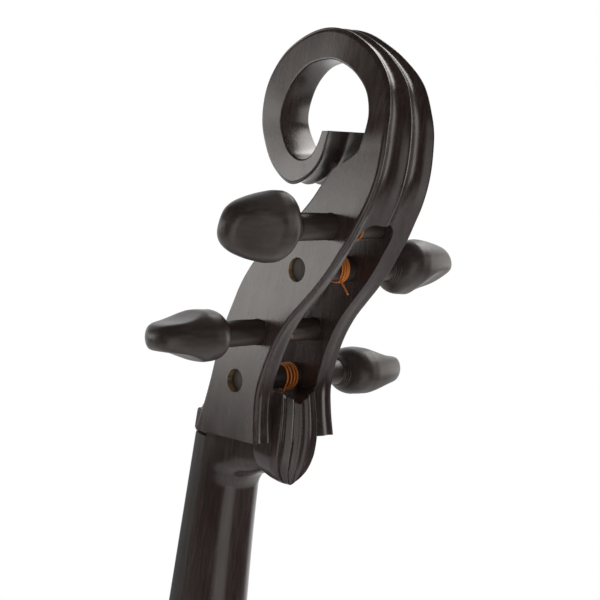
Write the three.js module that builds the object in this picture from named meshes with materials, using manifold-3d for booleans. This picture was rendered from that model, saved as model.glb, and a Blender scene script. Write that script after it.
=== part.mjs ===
// Electric cello of full size, in millimetres.
// +Z runs up along the neck, -Y faces the bow and strings, +X is the treble side.
// The origin lies on the flat back of the body core, where a wall plate or stand takes it.
import * as THREE from 'three';
import { mergeVertices } from 'three/addons/utils/BufferGeometryUtils.js';
import Module from 'manifold-3d';

const wasm = await Module();
wasm.setup();

// Whole instrument
const stringLength = 690;
const neckLength = 280;
const bodyLength = 755;
const originBelowBodyTop = 330;
const neckSetForward = 75;
const clearance = 0.3;
const stringClearance = 0.4;
const overrun = 4;

// Head: open ring scroll and pegbox
const headHeight = 203.2;
const headDepth = 96.2;
const headAboveNutEdge = 8.6;
const pegboxWidth = 52.7;
const pegboxTaperPerLength = 0.1256;
const slotWidthShare = 0.58;
const headEdgeChamfer = 2.2;
const fluteDepthShare = 0.09;
const scrollBandFull = 14;

// Outline of the head, front edge then back edge, in shares of depth and height.
// The fifth number is the width of the scroll band in shares of the pegbox width.
const headOutlineShares = [
  [0.015, -0.015, 0.495, 0.017],
  [0.047, 0.059, 0.464, 0.073],
  [0.067, 0.130, 0.446, 0.134],
  [0.079, 0.195, 0.467, 0.200],
  [0.100, 0.261, 0.510, 0.266],
  [0.135, 0.320, 0.576, 0.325],
  [0.177, 0.379, 0.650, 0.372],
  [0.255, 0.443, 0.726, 0.418],
  [0.354, 0.492, 0.798, 0.469],
  [0.439, 0.531, 0.847, 0.512],
  [0.519, 0.576, 0.892, 0.551],
  [0.582, 0.615, 0.928, 0.591],
  [0.636, 0.657, 0.963, 0.632],
  [0.694, 0.697, 0.988, 0.677],
  [0.772, 0.718, 0.999, 0.716],
  [0.830, 0.743, 1.000, 0.753],
  [0.854, 0.785, 0.994, 0.795],
  [0.844, 0.827, 0.973, 0.844, 0.550],
  [0.790, 0.871, 0.915, 0.906, 0.470],
  [0.686, 0.904, 0.802, 0.952, 0.380],
  [0.588, 0.921, 0.672, 0.982, 0.325],
  [0.489, 0.929, 0.530, 1.000, 0.298],
  [0.397, 0.923, 0.385, 0.998, 0.294],
  [0.297, 0.903, 0.233, 0.970, 0.300],
  [0.212, 0.860, 0.096, 0.918, 0.315],
  [0.168, 0.805, 0.012, 0.842, 0.334],
  [0.168, 0.769, 0.006, 0.763, 0.342],
  [0.204, 0.736, 0.050, 0.713, 0.357],
  [0.270, 0.704, 0.148, 0.658, 0.380],
  [0.363, 0.691, 0.307, 0.627, 0.408],
  [0.447, 0.704, 0.453, 0.656, 0.446],
  [0.497, 0.733, 0.536, 0.701, 0.474],
  [0.525, 0.768, 0.578, 0.772, 0.493],
];

// Back face of the band: place across the half width, inset in shares of the flute depth.
const backProfileShares = [
  [0.90, 0.0],
  [0.80, 0.35],
  [0.52, 1.0],
  [0.22, 0.62],
  [0.08, 0.05],
];

// The string slot through the pegbox: front point, back point, and share of its full width.
const slotShares = [
  [-0.042, 0.015, 0.541, 0.123, 0.04],
  [-0.031, 0.054, 0.520, 0.155, 1],
  [0.031, 0.195, 0.509, 0.200, 1],
  [0.062, 0.276, 0.582, 0.271, 1],
  [0.135, 0.384, 0.707, 0.354, 1],
  [0.312, 0.497, 0.863, 0.443, 1],
  [0.478, 0.586, 0.956, 0.522, 0.97],
  [0.545, 0.634, 0.977, 0.549, 0.72],
  [0.574, 0.655, 0.985, 0.562, 0.40],
  [0.587, 0.662, 0.988, 0.566, 0.04],
];

// Chin and throat
const chinDrop = 20;
const chinDepth = 51.2;
const chinWidth = 28.6;
const chinRootDepth = 30;
const chinRibDepth = 1.1;
const chinEdgeDepth = 3.2;
// Height, rear face and half width of the chin lobe.
const chinShares = [
  [1.5, 0.898, 0.413],
  [1.0, 0.949, 0.441],
  [0.5, 0.984, 0.483],
  [0.1, 1, 0.5],
  [-0.2, 0.996, 0.497],
  [-0.45, 0.988, 0.458],
  [-0.675, 0.977, 0.371],
  [-0.84, 0.961, 0.245],
  [-1, 0.941, 0.052],
];
// Place across the chin and share of the rib depth there.
const chinRibShares = [
  [1, 1],
  [0.86, 0],
  [0.62, 1],
  [0.40, 0],
  [0.20, 1],
  [0.06, 0.3],
  [0, 0.7],
];
const throatShares = [
  [0.15, 0.781],
  [-0.3, 0.781],
  [-0.6, 0.758],
  [-0.8, 0.693],
  [-0.97, 0.598],
  [-1.09, 0.496],
  [-1.25, 0.398],
  [-1.65, 0.324],
];

// Neck, heel and tenon
const neckWidthAtNut = 31;
const neckFrontDepth = 2.5;
const neckFrontRisePerLength = 0.014;
const neckBackAtMiddle = 22;
const neckBackAtHeel = 25;
const heelHeight = 30;
const heelDepth = 73;
// Share of the heel's height above the body, share of its full depth.
const heelShares = [
  [1.1, 0.0],
  [0.65, 0.14],
  [0.35, 0.36],
  [0.14, 0.66],
  [0.0, 1.0],
];
const neckRoundness = 2.2;
const tenonWidth = 28;
const tenonLength = 55;
const tenonDepth = 57;

// Nut and fingerboard
const nutLength = 11.4;
const nutAboveBoard = 1.2;
const nutBackFall = 2.4;
const boardToBridge = 100;
const boardLength = stringLength - boardToBridge;
const boardWidthAtEnd = 62;
const boardEdgeAtNut = 12;
const boardEdgeAtEnd = 25.4;
const boardCrownRadius = 66;
const nutToBoardStep = 0.5;
const nutCrestShare = 0.12;
const boardRunShares = [0, 0.5, 1];
// Fall of the nut's top behind its crest: share of its length, share of the whole fall.
const nutFallShares = [
  [0, 0.25],
  [nutCrestShare, 0],
  [1, 1],
];

// Pegs
const pegShankRadius = 6.5;
const pegShankEndRadius = 5.5;
const pegCollarStandoff = 21;
const bassUpperSetback = 4.2;
const bassLowerSetback = 3.1;
const pegHeadLength = 41.6;
const pegHeadWidth = 32.6;
const pegHeadThickness = 24.8;
// Thumb piece of a peg: length, width and thickness shares.
const pegHeadShares = [
  [0.00, 0.44, 0.58],
  [0.03, 0.54, 0.72],
  [0.06, 0.46, 0.60],
  [0.10, 0.63, 0.79],
  [0.18, 0.86, 0.95],
  [0.28, 0.98, 1.00],
  [0.38, 1.00, 0.96],
  [0.48, 0.98, 0.81],
  [0.60, 0.92, 0.68],
  [0.72, 0.82, 0.58],
  [0.83, 0.69, 0.54],
  [0.92, 0.53, 0.48],
  [0.97, 0.34, 0.35],
  [1.00, 0.05, 0.05],
];

// Strings: places at the nut and bridge in shares of the spacing, from treble to bass
const nutSpacing = 22.6;
const bridgeSpacing = 48;
const silkRadius = 0.65;
const silkPitch = 1.8;
const silkTailLength = 7;
const silkTailLift = 2.6;
const silkTailShares = [1, 0.6, 0.25];
const ballRadius = 1.8;
const ballLength = 4;
const ballTiltShare = 0.3;
const stringSides = 8;
const thickestString = 0.85;
// Of each string: its thickness, and the axis of its peg in shares of the head's depth and height.
const stringShares = [
  { name: 'a', place: 0.5, thick: 0.47, back: 0.36279, up: 0.2751, side: 1, turn: 100, loops: 4,
    windShare: 0.152, tail: 1, standoff: pegCollarStandoff },
  { name: 'd', place: 1 / 6, thick: 0.588, back: 0.74116, up: 0.56545, side: 1, turn: -12, loops: 2,
    windShare: 0.068, tail: 0.4, standoff: pegCollarStandoff },
  { name: 'g', place: -1 / 6, thick: 0.765, back: 0.56861, up: 0.44783, side: -1, turn: 130, loops: 3,
    windShare: -0.1163, tail: 1, standoff: pegCollarStandoff - bassUpperSetback },
  { name: 'c', place: -0.5, thick: 1, back: 0.25988, up: 0.14222, side: -1, turn: 100, loops: 4,
    windShare: -0.155, tail: 1, standoff: pegCollarStandoff - bassLowerSetback },
];
const strings = stringShares.map(row => ({
  ...row, gauge: row.thick * thickestString, depth: row.back * headDepth, height: row.up * headHeight,
}));
const loopSteps = 18;
const silkSides = 6;

// Body core
const coreDepth = 45;
const coreWidth = 96;
const coreBevel = 3;
// Outline of the core: height in shares of the body length from its top, share of the half width.
const coreShares = [
  [0.0, 0.62],
  [0.008, 0.76],
  [0.024, 0.87],
  [0.066, 0.90],
  [0.20, 0.94],
  [0.42, 0.84],
  [0.52, 0.84],
  [0.65, 1.0],
  [0.90, 1.0],
  [0.935, 0.97],
  [0.976, 0.90],
  [0.992, 0.78],
  [1.0, 0.58],
];

// Side wings
const wingRail = 23;
const wingDepth = 22;
const wingBack = 12;
const wingBevel = 2.5;
const tongueLength = 24;
const tongueThickness = 7;
const tongueWidth = 15;
const lowerBoutWidth = 438;
// Outline of half a cello: share of the body length from its top, half width in lower bout shares.
const wingOuterShares = [
  [0.030, 0.20],
  [0.022, 0.36],
  [0.042, 0.55],
  [0.085, 0.70],
  [0.150, 0.775],
  [0.215, 0.755],
  [0.268, 0.69],
];
const wingUpperCornerShares = [
  [0.305, 0.705],
  [0.330, 0.745],
];
const wingWaistShares = [
  [0.362, 0.615],
  [0.410, 0.545],
  [0.460, 0.530],
  [0.515, 0.575],
  [0.560, 0.685],
];
const wingLowerCornerShares = [
  [0.582, 0.825],
  [0.612, 0.825],
];
const wingLowerShares = [
  [0.680, 0.935],
  [0.770, 1.000],
  [0.860, 0.945],
  [0.930, 0.745],
  [0.968, 0.480],
  [0.972, 0.22],
];

// Bridge and pickup
const bridgeWidth = 76;
const bridgeFootThickness = 11;
const bridgeTopThickness = 4;
const bridgeCrownRadius = 66;
const stringAngleRise = 42.6;
const piezoThickness = 2.2;
const piezoProud = 0.6;
// Half outline of the bridge: share of its half width, share of its height.
const bridgeShares = [
  [0.48, 0.0],
  [1.0, 0.0],
  [1.0, 0.045],
  [0.86, 0.12],
  [0.80, 0.24],
  [0.86, 0.36],
  [0.96, 0.44],
  [0.86, 0.49],
  [0.70, 0.50],
  [0.66, 0.62],
  [0.72, 0.78],
];
// Openings in the bridge: place, then half sizes, in the same shares.
const bridgeHoleShares = [
  [0, 0.56, 0.15, 0.10],
  [0.46, 0.40, 0.14, 0.055],
  [-0.46, 0.40, 0.14, 0.055],
];
const bridgeArchShares = [
  [0.48, 0.045],
  [0.44, 0.14],
  [0.26, 0.235],
  [0.0, 0.26],
];

// Tailpiece and fine tuners
const tailpieceTopWidth = 62;
const tailpieceEndWidth = 36;
const tailpieceThickness = 9;
const tailpieceBelowBridge = 118;
const tailpieceAboveTail = 22;
const tailpieceTopRise = 36;
const tailpieceEndRise = 15;
const tunerScrewRadius = 2;
const tunerKnobRadius = 5;
const tunerKnobHeight = 7;
const tunerSetback = 17;
const tunerSlotLength = 15;
const tunerSlotWidth = 5;
const leverThickness = 3.4;
const leverDrop = 0.5;
const leverPinReach = 4.4;
const tunerScrewSetback = 16;
const tunerKnobStandoff = 3;
const leverHookHeight = 7;
const leverPinRadius = 1;
const tailCordRadius = 2;
const tailCordSpread = 9;
const tailCordSeat = 12;
const tailpieceCrown = 2.4;
const tailpieceRunShares = [0, 0.5, 1];

// Saddle and endpin
const saddleWidth = 40;
const saddleDepth = 9;
const saddleProud = 5;
const saddleOverhang = 0.8;
const saddleDrop = 8;
const collarGrooveRadius = 9;
const collarGrooveLength = 7;
const collarRadius = 15;
const collarLength = 24;
const collarPlugRadius = 11;
const collarPlugLength = 32;
const rodRadius = 5;
const rodLength = 500;
const rodOutside = 62;
const rodBoreSpare = 17;
const rodBoreDepth = rodLength - rodOutside + rodBoreSpare;
const rodRunningGap = 0.3;
const tipRadius = 9;
const tipLength = 30;
const tipFootRadius = 6;
const tipWall = 2.4;
const tipFloor = 6;
// The bell of the tip: height in shares of its length, share of the way out to its full radius.
const tipShares = [
  [0.60, 0],
  [0.39, 1],
  [0.15, 1],
];
const rodPoint = 0.8;
const collarChamfer = 1.5;
const clampNeckShare = 0.6;
const clampRadius = 3;
const clampKnobRadius = 9;
const clampKnobLength = 12;
const clampKnobStandoff = 3;
const endpinDepth = 22;

// Controls, on the treble flank of the core
const plateHeight = 30;
const plateThickness = 2.5;
// Middle of the control plate and top of the battery below the bridge, and the length of the plate,
// in shares of the body below the bridge. Pitch of the controls and length of the circuit, in shares
// of the plate.
const plateDownShare = 0.49855;
const batteryDownShare = 0.27536;
const plateLengthShare = 0.46377;
const controlPitchShare = 0.2125;
const circuitLengthShare = 0.6;
const cavityMargin = 8;
const cavityDepth = 34;
const potRadius = 8;
const potDepth = 9;
const bushingRadius = 4.5;
const spindleRadius = 2.8;
const knobRadius = 9;
const knobHeight = 14;
const knobStandoff = 1.5;
const jackRadius = 6.2;
const jackBore = 3.3;
const jackDepth = 26;
const jackFlangeRadius = 8.5;
const jackFlangeHeight = 3;
const smallJackRadius = 4.2;
const smallJackBore = 1.8;
const smallJackDepth = 15;
const smallJackFlangeRadius = 6;
const circuitThickness = 1.6;
const chipHeight = 3;
// Parts on the board: place along and across, half sizes, in shares of the half board.
const circuitPartShares = [
  [0.55, 0.2, 0.4, 0.10],
  [0.1, -0.3, 0.3, 0.06],
  [-0.4, 0.1, 0.5, 0.12],
];
const circuitHeight = 20;
const leadRadius = 1.2;
const leadChannelRadius = 2.2;
const leadReach = 6;
const leadBendShare = 0.6;
const spindleSeat = 2.5;
const knobRoof = 3;
const knobRound = 1.2;
const knobTopShare = 0.9;

// Battery, behind a hinged door on the bass side of the back
const batteryLength = 48.5;
const batteryWidth = 26.5;
const batteryDepth = 17.5;
const batteryGap = 0.5;
const boxWall = 1.2;
const doorThickness = 2.2;
const doorPinRadius = 1;
const doorKnuckleRadius = 2.2;
const batteryFromMiddle = 9.5;
const studHeight = 2.5;
const studRadius = 3;
// Places of the two studs across the battery.
const studShares = [0.3, 0.7];
const pullWidth = 3;
const pullLength = 14;
const pullDepth = 1.2;

// Screws
const screwRadius = 3;
const screwHeadRadius = 5.5;
const screwHeadHeight = 3.5;
const neckScrewLength = 40;
// Places of the neck screws down the tenon.
const neckScrewShares = [0.3, 0.75];
const wingScrewLength = 30;
const smallScrewRadius = 1.4;
const smallScrewHeadRadius = 2.8;
const smallScrewHeadHeight = 1.6;
const smallScrewLength = 12;

const roundSides = 20;
const fineSides = 12;

// Places worked out from the sizes above
const bodyTop = originBelowBodyTop;
const bodyTail = bodyTop - bodyLength;
const nutEdge = bodyTop + neckLength;
const bridgeHeightPlace = nutEdge - stringLength;
const headBase = nutEdge + headAboveNutEdge;
const coreFront = -coreDepth;
const neckFoot = -(headAboveNutEdge + neckLength);
const nutFoot = -headAboveNutEdge + nutToBoardStep;
const bridgeTop = neckSetForward + stringAngleRise;
const tailTop = bridgeHeightPlace - tailpieceBelowBridge;
const tailEnd = bodyTail + tailpieceAboveTail;
const tailpieceLength = tailTop - tailEnd;
const belowBridge = bridgeHeightPlace - bodyTail;
const plateLength = plateLengthShare * belowBridge;
const controlPitch = controlPitchShare * plateLength;
const circuitLength = circuitLengthShare * plateLength;

// Finishes
const blackWood = finish(0x1d1b1a, 0.42, 0);
const ebony = finish(0x141312, 0.5, 0);
const pegWood = finish(0x1a1918, 0.62, 0);
const silk = finish(0xc4601a, 0.7, 0);
const windingSteel = finish(0x9a9c9e, 0.35, 0.9);
const maple = finish(0xb98a55, 0.55, 0);
const brightMetal = finish(0xb4b6b8, 0.3, 0.95);
const blackMetal = finish(0x202122, 0.4, 0.8);
const rubber = finish(0x161616, 0.85, 0);
const circuitGreen = finish(0x24573a, 0.55, 0);
const blackPlastic = finish(0x191919, 0.5, 0);

const cello = new THREE.Group();
const neckGroup = new THREE.Group();
neckGroup.position.set(0, -neckSetForward, headBase);
cello.add(neckGroup);

function finish(color, roughness, metalness) {
  return new THREE.MeshStandardMaterial({ color, roughness, metalness });
}

function addPiece(parent, name, geometry, material) {
  const mesh = new THREE.Mesh(geometry, material);
  mesh.name = name;
  parent.add(mesh);
  return mesh;
}

// Solids and lofts

function toSolid(geometry) {
  const bare = geometry.clone();
  bare.deleteAttribute('normal');
  bare.deleteAttribute('uv');
  const merged = mergeVertices(bare);
  return new wasm.Manifold(new wasm.Mesh({
    numProp: 3,
    vertProperties: Float32Array.from(merged.attributes.position.array),
    triVerts: Uint32Array.from(merged.index.array),
  }));
}

function toGeometry(solid) {
  const mesh = solid.getMesh();
  const geometry = new THREE.BufferGeometry();
  geometry.setAttribute('position', new THREE.BufferAttribute(Float32Array.from(mesh.vertProperties), 3));
  geometry.setIndex(new THREE.BufferAttribute(Uint32Array.from(mesh.triVerts), 1));
  geometry.computeVertexNormals();
  return geometry;
}

function cutFrom(geometry, cutters) {
  return toGeometry(cutters.reduce((body, cutter) => body.subtract(toSolid(cutter)), toSolid(geometry)));
}

function joined(geometries) {
  return toGeometry(geometries.map(toSolid).reduce((body, more) => body.add(more)));
}

// A closed body through rings of points, each ring with the same count, capped at both ends.
function loft(rings) {
  const count = rings[0].length;
  const corners = rings.flat();
  const faces = [];
  for (let row = 0; row < rings.length - 1; row += 1) {
    for (let k = 0; k < count; k += 1) {
      const a = row * count + k;
      const b = row * count + (k + 1) % count;
      faces.push(a, b, b + count, a, b + count, a + count);
    }
  }
  for (const row of [0, rings.length - 1]) {
    const middle = rings[row].reduce((sum, p) => sum.add(p), new THREE.Vector3()).divideScalar(count);
    corners.push(middle);
    for (let k = 0; k < count; k += 1) {
      const a = row * count + k;
      const b = row * count + (k + 1) % count;
      faces.push(...(row === 0 ? [b, a, corners.length - 1] : [a, b, corners.length - 1]));
    }
  }
  return facedOut(corners, faces);
}

function facedOut(corners, faces) {
  let volume = 0;
  for (let k = 0; k < faces.length; k += 3) {
    const [a, b, c] = [corners[faces[k]], corners[faces[k + 1]], corners[faces[k + 2]]];
    volume += a.dot(b.clone().cross(c));
  }
  const order = volume < 0 ? [...faces].reverse() : faces;
  const geometry = new THREE.BufferGeometry();
  geometry.setAttribute('position', new THREE.Float32BufferAttribute(corners.flatMap(p => p.toArray()), 3));
  geometry.setIndex(order);
  geometry.computeVertexNormals();
  return geometry;
}

// A round tube through points, with one ring at each point, carried along without twist.
function tube(points, radii, sides) {
  const rings = [];
  let normal = null;
  points.forEach((point, k) => {
    const before = points[Math.max(k - 1, 0)];
    const after = points[Math.min(k + 1, points.length - 1)];
    const along = after.clone().sub(before).normalize();
    if (normal === null) {
      const sideways = Math.abs(along.x) < Math.SQRT1_2;
      normal = sideways ? new THREE.Vector3(1, 0, 0) : new THREE.Vector3(0, 1, 0);
    }
    normal = normal.clone().addScaledVector(along, -normal.dot(along)).normalize();
    const across = along.clone().cross(normal);
    const radius = Array.isArray(radii) ? radii[k] : radii;
    const ring = [];
    for (let s = 0; s < sides; s += 1) {
      const angle = 2 * Math.PI * s / sides;
      ring.push(point.clone()
        .addScaledVector(normal, radius * Math.cos(angle))
        .addScaledVector(across, radius * Math.sin(angle)));
    }
    rings.push(ring);
  });
  return loft(rings);
}

function block(x0, x1, y0, y1, z0, z1) {
  const geometry = new THREE.BoxGeometry(x1 - x0, y1 - y0, z1 - z0);
  return geometry.translate((x0 + x1) / 2, (y0 + y1) / 2, (z0 + z1) / 2);
}

// A round bar of stepped radii along an axis: profile holds pairs of place and radius.
function turned(axis, profile, sides = roundSides) {
  const outline = [[profile[0][0], 0], ...profile, [profile[profile.length - 1][0], 0]];
  const points = outline.map(([place, radius]) => new THREE.Vector2(radius, place));
  return aimed(new THREE.LatheGeometry(points, sides), axis);
}

// A round sleeve: the outline closes on itself round the bore.
function sleeve(axis, profile, sides = roundSides) {
  const outline = [...profile, profile[0]];
  const points = outline.map(([place, radius]) => new THREE.Vector2(radius, place));
  return aimed(new THREE.LatheGeometry(points, sides), axis);
}

function aimed(geometry, axis) {
  if (axis === 'x') {
    geometry.rotateZ(-Math.PI / 2);
  }
  if (axis === 'z') {
    geometry.rotateX(Math.PI / 2);
  }
  geometry.deleteAttribute('normal');
  geometry.deleteAttribute('uv');
  const merged = mergeVertices(geometry);
  const place = merged.attributes.position;
  const corners = Array.from({ length: place.count },
    (_, k) => new THREE.Vector3().fromBufferAttribute(place, k));
  return facedOut(corners, withoutSlivers(Array.from(merged.index.array)));
}

// Faces that a turned end on the axis leaves without area.
function withoutSlivers(faces) {
  const kept = [];
  for (let k = 0; k < faces.length; k += 3) {
    const [a, b, c] = faces.slice(k, k + 3);
    if (a !== b && b !== c && a !== c) {
      kept.push(a, b, c);
    }
  }
  return kept;
}

// A plate drawn in X and Z whose back lies at Y = back and whose edges are rounded by a bevel.
function plate(shape, back, depth, bevel) {
  const settings = { depth: depth - 2 * bevel, bevelEnabled: bevel > 0, bevelSize: bevel,
    bevelOffset: -bevel, bevelThickness: bevel, bevelSegments: 1, curveSegments: 6 };
  const geometry = new THREE.ExtrudeGeometry(shape, settings);
  return geometry.rotateX(Math.PI / 2).translate(0, back - bevel, 0);
}

function smoothLine(points, steps) {
  return new THREE.SplineCurve(points).getPoints(steps);
}

function crownFall(x, radius) {
  return radius - Math.sqrt(radius * radius - x * x);
}

function mix(a, b, share) {
  return a + (b - a) * share;
}

// Head

function cheekWidth(height) {
  return pegboxWidth - pegboxTaperPerLength * height;
}

function curveThrough(rows, first) {
  return new THREE.CatmullRomCurve3(rows.map(row => new THREE.Vector3(
    row[first] * headDepth, row[first + 1] * headHeight, 0)), false, 'centripetal');
}

function widthAt(row, heightShare) {
  return row.length > 4 ? row[4] * pegboxWidth : cheekWidth(heightShare * headHeight);
}

function headBand() {
  const front = curveThrough(headOutlineShares, 0);
  const back = curveThrough(headOutlineShares, 2);
  const frontWidth = headOutlineShares.map(row => widthAt(row, row[1]));
  const backWidth = headOutlineShares.map(row => widthAt(row, row[3]));
  const spans = headOutlineShares.length - 1;
  const stepsPerSpan = 2;
  const rings = [];
  for (let k = 0; k <= spans * stepsPerSpan; k += 1) {
    const t = k / (spans * stepsPerSpan);
    const row = Math.min(Math.floor(t * spans), spans - 1);
    const part = t * spans - row;
    rings.push(bandRing(front.getPoint(t), back.getPoint(t),
      mix(frontWidth[row], frontWidth[row + 1], part),
      mix(backWidth[row], backWidth[row + 1], part)));
  }
  return loft(rings);
}

function bandRing(front, back, frontWidth, backWidth) {
  const inward = front.clone().sub(back);
  const thickness = inward.length();
  inward.normalize();
  const thin = Math.min(1, thickness / scrollBandFull);
  const flute = fluteDepthShare * backWidth * thin;
  const chamfer = headEdgeChamfer * thin;
  const rearPoint = (share, inset) => {
    const place = back.clone().addScaledVector(inward, inset);
    return new THREE.Vector3(share * backWidth / 2, place.x, place.y);
  };
  const ring = [new THREE.Vector3(-frontWidth / 2, front.x, front.y),
    new THREE.Vector3(frontWidth / 2, front.x, front.y), rearPoint(1, chamfer)];
  backProfileShares.forEach(([share, inset]) => ring.push(rearPoint(share, inset * flute)));
  [...backProfileShares].reverse().forEach(([share, inset]) => ring.push(rearPoint(-share, inset * flute)));
  ring.push(rearPoint(-1, chamfer));
  return ring;
}

function stringSlot() {
  return loft(slotShares.map(row => {
    const halfAt = heightShare => row[4] * slotWidthShare * cheekWidth(heightShare * headHeight) / 2;
    const corner = (side, first) => new THREE.Vector3(
      side * halfAt(row[first + 1]), row[first] * headDepth, row[first + 1] * headHeight);
    return [corner(-1, 0), corner(1, 0), corner(1, 2), corner(-1, 2)];
  }));
}

function chinLobe() {
  return loft(chinShares.map(([height, rear, half]) => {
    const halfWidth = half * chinWidth;
    const rib = chinRibDepth * Math.min(1, half * 2);
    const rearAt = (share, ribShare) => {
      const round = chinEdgeDepth * (1 - Math.sqrt(1 - share * share));
      return new THREE.Vector3(share * halfWidth, rear * chinDepth - round - rib * ribShare,
        height * chinDrop);
    };
    const right = chinRibShares.map(([share, ribShare]) => rearAt(share, ribShare));
    const left = [...chinRibShares].reverse().slice(1).map(([share, ribShare]) => rearAt(-share, ribShare));
    return [new THREE.Vector3(-halfWidth, chinRootDepth, height * chinDrop),
      new THREE.Vector3(halfWidth, chinRootDepth, height * chinDrop), ...right, ...left];
  }));
}

function neckFrontAt(height) {
  return -neckFrontDepth + neckFrontRisePerLength * Math.min(height, 0);
}

function neckHalfWidthAt(height) {
  const run = Math.max(-height - headAboveNutEdge, 0) / boardLength;
  return mix(neckWidthAtNut, boardWidthAtEnd, run) / 2;
}

function neckRing(height, rear) {
  const front = neckFrontAt(height);
  const half = neckHalfWidthAt(height);
  const ring = [];
  const steps = 10;
  for (let k = 0; k <= steps; k += 1) {
    const angle = Math.PI * k / steps;
    const bend = value => Math.sign(value) * Math.abs(value) ** (2 / neckRoundness);
    ring.push(new THREE.Vector3(half * bend(Math.cos(angle)),
      front + (rear - front) * bend(Math.sin(angle)), height));
  }
  return ring;
}

function neckShaft() {
  const rings = throatShares.map(([height, rear]) => neckRing(height * chinDrop, rear * chinDepth));
  rings.push(neckRing(neckFoot / 2, neckBackAtMiddle));
  heelShares.forEach(([height, depth]) => {
    rings.push(neckRing(neckFoot + clearance + height * heelHeight, mix(neckBackAtHeel, heelDepth, depth)));
  });
  return loft(rings);
}

function neckTenon() {
  const end = neckFoot - tenonLength;
  const face = height => [
    new THREE.Vector3(-tenonWidth / 2, neckFrontAt(height), height),
    new THREE.Vector3(tenonWidth / 2, neckFrontAt(height), height),
    new THREE.Vector3(tenonWidth / 2, tenonDepth, height),
    new THREE.Vector3(-tenonWidth / 2, tenonDepth, height),
  ];
  return loft([face(neckFoot + overrun), face(end)]);
}

function pegRadiusAt(peg, x) {
  const half = cheekWidth(peg.height) / 2;
  const share = (peg.side * x + half) / (2 * half + peg.standoff);
  return mix(pegShankEndRadius, pegShankRadius, share);
}

function pegHole(peg) {
  const half = cheekWidth(peg.height) / 2 + overrun;
  const rings = [-half, half].map(x => {
    const ring = [];
    for (let s = 0; s < roundSides; s += 1) {
      const angle = 2 * Math.PI * s / roundSides;
      const radius = pegRadiusAt(peg, x) + clearance;
      ring.push(new THREE.Vector3(x, peg.depth + radius * Math.cos(angle),
        peg.height + radius * Math.sin(angle)));
    }
    return ring;
  });
  return loft(rings);
}

function neckScrewPlaces() {
  return neckScrewShares.map(share => neckFoot - share * tenonLength);
}

function neckAndHead() {
  const whole = joined([headBand(), neckShaft(), chinLobe(), neckTenon()]);
  const screwBores = neckScrewPlaces().map(height => turned('y', [
    [tenonDepth / 2, screwRadius + clearance], [tenonDepth + overrun, screwRadius + clearance]], fineSides)
    .translate(0, 0, height));
  return cutFrom(whole, [stringSlot(), ...strings.map(pegHole), ...screwBores]);
}

// Pegs and their silk windings

function pegGeometry(peg) {
  const half = cheekWidth(peg.height) / 2;
  const collar = half + peg.standoff;
  const turn = THREE.MathUtils.degToRad(peg.turn);
  const ringAt = (x, wide, thick, sides) => {
    const ring = [];
    for (let s = 0; s < sides; s += 1) {
      const angle = 2 * Math.PI * s / sides;
      const y = thick * Math.cos(angle);
      const z = wide * Math.sin(angle);
      ring.push(new THREE.Vector3(peg.side * x, peg.depth + y * Math.cos(turn) - z * Math.sin(turn),
        peg.height + y * Math.sin(turn) + z * Math.cos(turn)));
    }
    return ring;
  };
  const sides = 16;
  const rings = [-half, half, collar].map(x => {
    const radius = pegRadiusAt(peg, peg.side * x);
    return ringAt(x, radius, radius, sides);
  });
  pegHeadShares.forEach(([length, width, thickness]) => {
    rings.push(ringAt(collar + clearance + length * pegHeadLength, width * pegHeadWidth / 2,
      thickness * pegHeadThickness / 2, sides));
  });
  return loft(rings);
}

function windingCourse(peg) {
  const middle = peg.windShare * cheekWidth(peg.height);
  const start = middle - peg.side * peg.loops * silkPitch / 2;
  const leave = leavingAngle(peg);
  const points = [];
  const steps = peg.loops * loopSteps;
  for (let k = 0; k <= steps; k += 1) {
    const x = start + peg.side * silkPitch * k / loopSteps;
    const angle = leave - 2 * Math.PI * (steps - k) / loopSteps;
    const radius = pegRadiusAt(peg, x) + clearance + silkRadius;
    points.push(new THREE.Vector3(x, peg.depth + radius * Math.cos(angle),
      peg.height + radius * Math.sin(angle)));
  }
  const outward = points[0].clone().setX(0).sub(new THREE.Vector3(0, peg.depth, peg.height)).normalize();
  const tail = silkTailShares.map(share => points[0].clone()
    .addScaledVector(outward, silkTailLift * peg.tail * share * share)
    .add(new THREE.Vector3(-peg.side * silkPitch * peg.tail * share, 0, 0))
    .addScaledVector(points[0].clone().sub(points[1]).normalize(), silkTailLength * peg.tail * share));
  return [...tail, ...points];
}

// The angle round the peg at which the string leaves it, on the playing side, for the nut.
function leavingAngle(peg) {
  const toNut = new THREE.Vector2(nutBackPoint(peg).y - peg.depth, nutBackPoint(peg).z - peg.height);
  const radius = pegRadiusAt(peg, 0) + clearance + silkRadius;
  return toNut.angle() - Math.acos(radius / toNut.length());
}

function leastGap(points, radius) {
  let least = Infinity;
  points.forEach((p, k) => {
    for (let j = k + loopSteps / 2; j < points.length; j += 1) {
      least = Math.min(least, p.distanceTo(points[j]) - 2 * radius);
    }
  });
  return least;
}

// Strings

function boardTopAt(height) {
  const run = (-height - headAboveNutEdge) / boardLength;
  return mix(boardEdgeAtNut, boardEdgeAtEnd, run) + crownFall(neckHalfWidthAt(height), boardCrownRadius);
}

function nutCrown() {
  return boardTopAt(-headAboveNutEdge) + nutAboveBoard;
}

// Where a string crosses the crest of the nut, in the frame of the neck, and where it leaves its back edge.
function nutPoint(string) {
  const x = string.place * nutSpacing;
  const above = nutCrown() + aboveCrown(x, boardCrownRadius, nutRadius(string));
  return new THREE.Vector3(x, -above, nutFoot + nutCrestShare * nutLength);
}

function nutBackPoint(string) {
  const run = (1 - nutCrestShare) * nutLength + nutRadius(string);
  return nutPoint(string).add(new THREE.Vector3(0, nutBackFall, run));
}

// Over the nut a string is wrapped in silk, so the thin ones are thicker there.
function nutRadius(string) {
  return Math.max(string.gauge, silkRadius);
}

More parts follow.
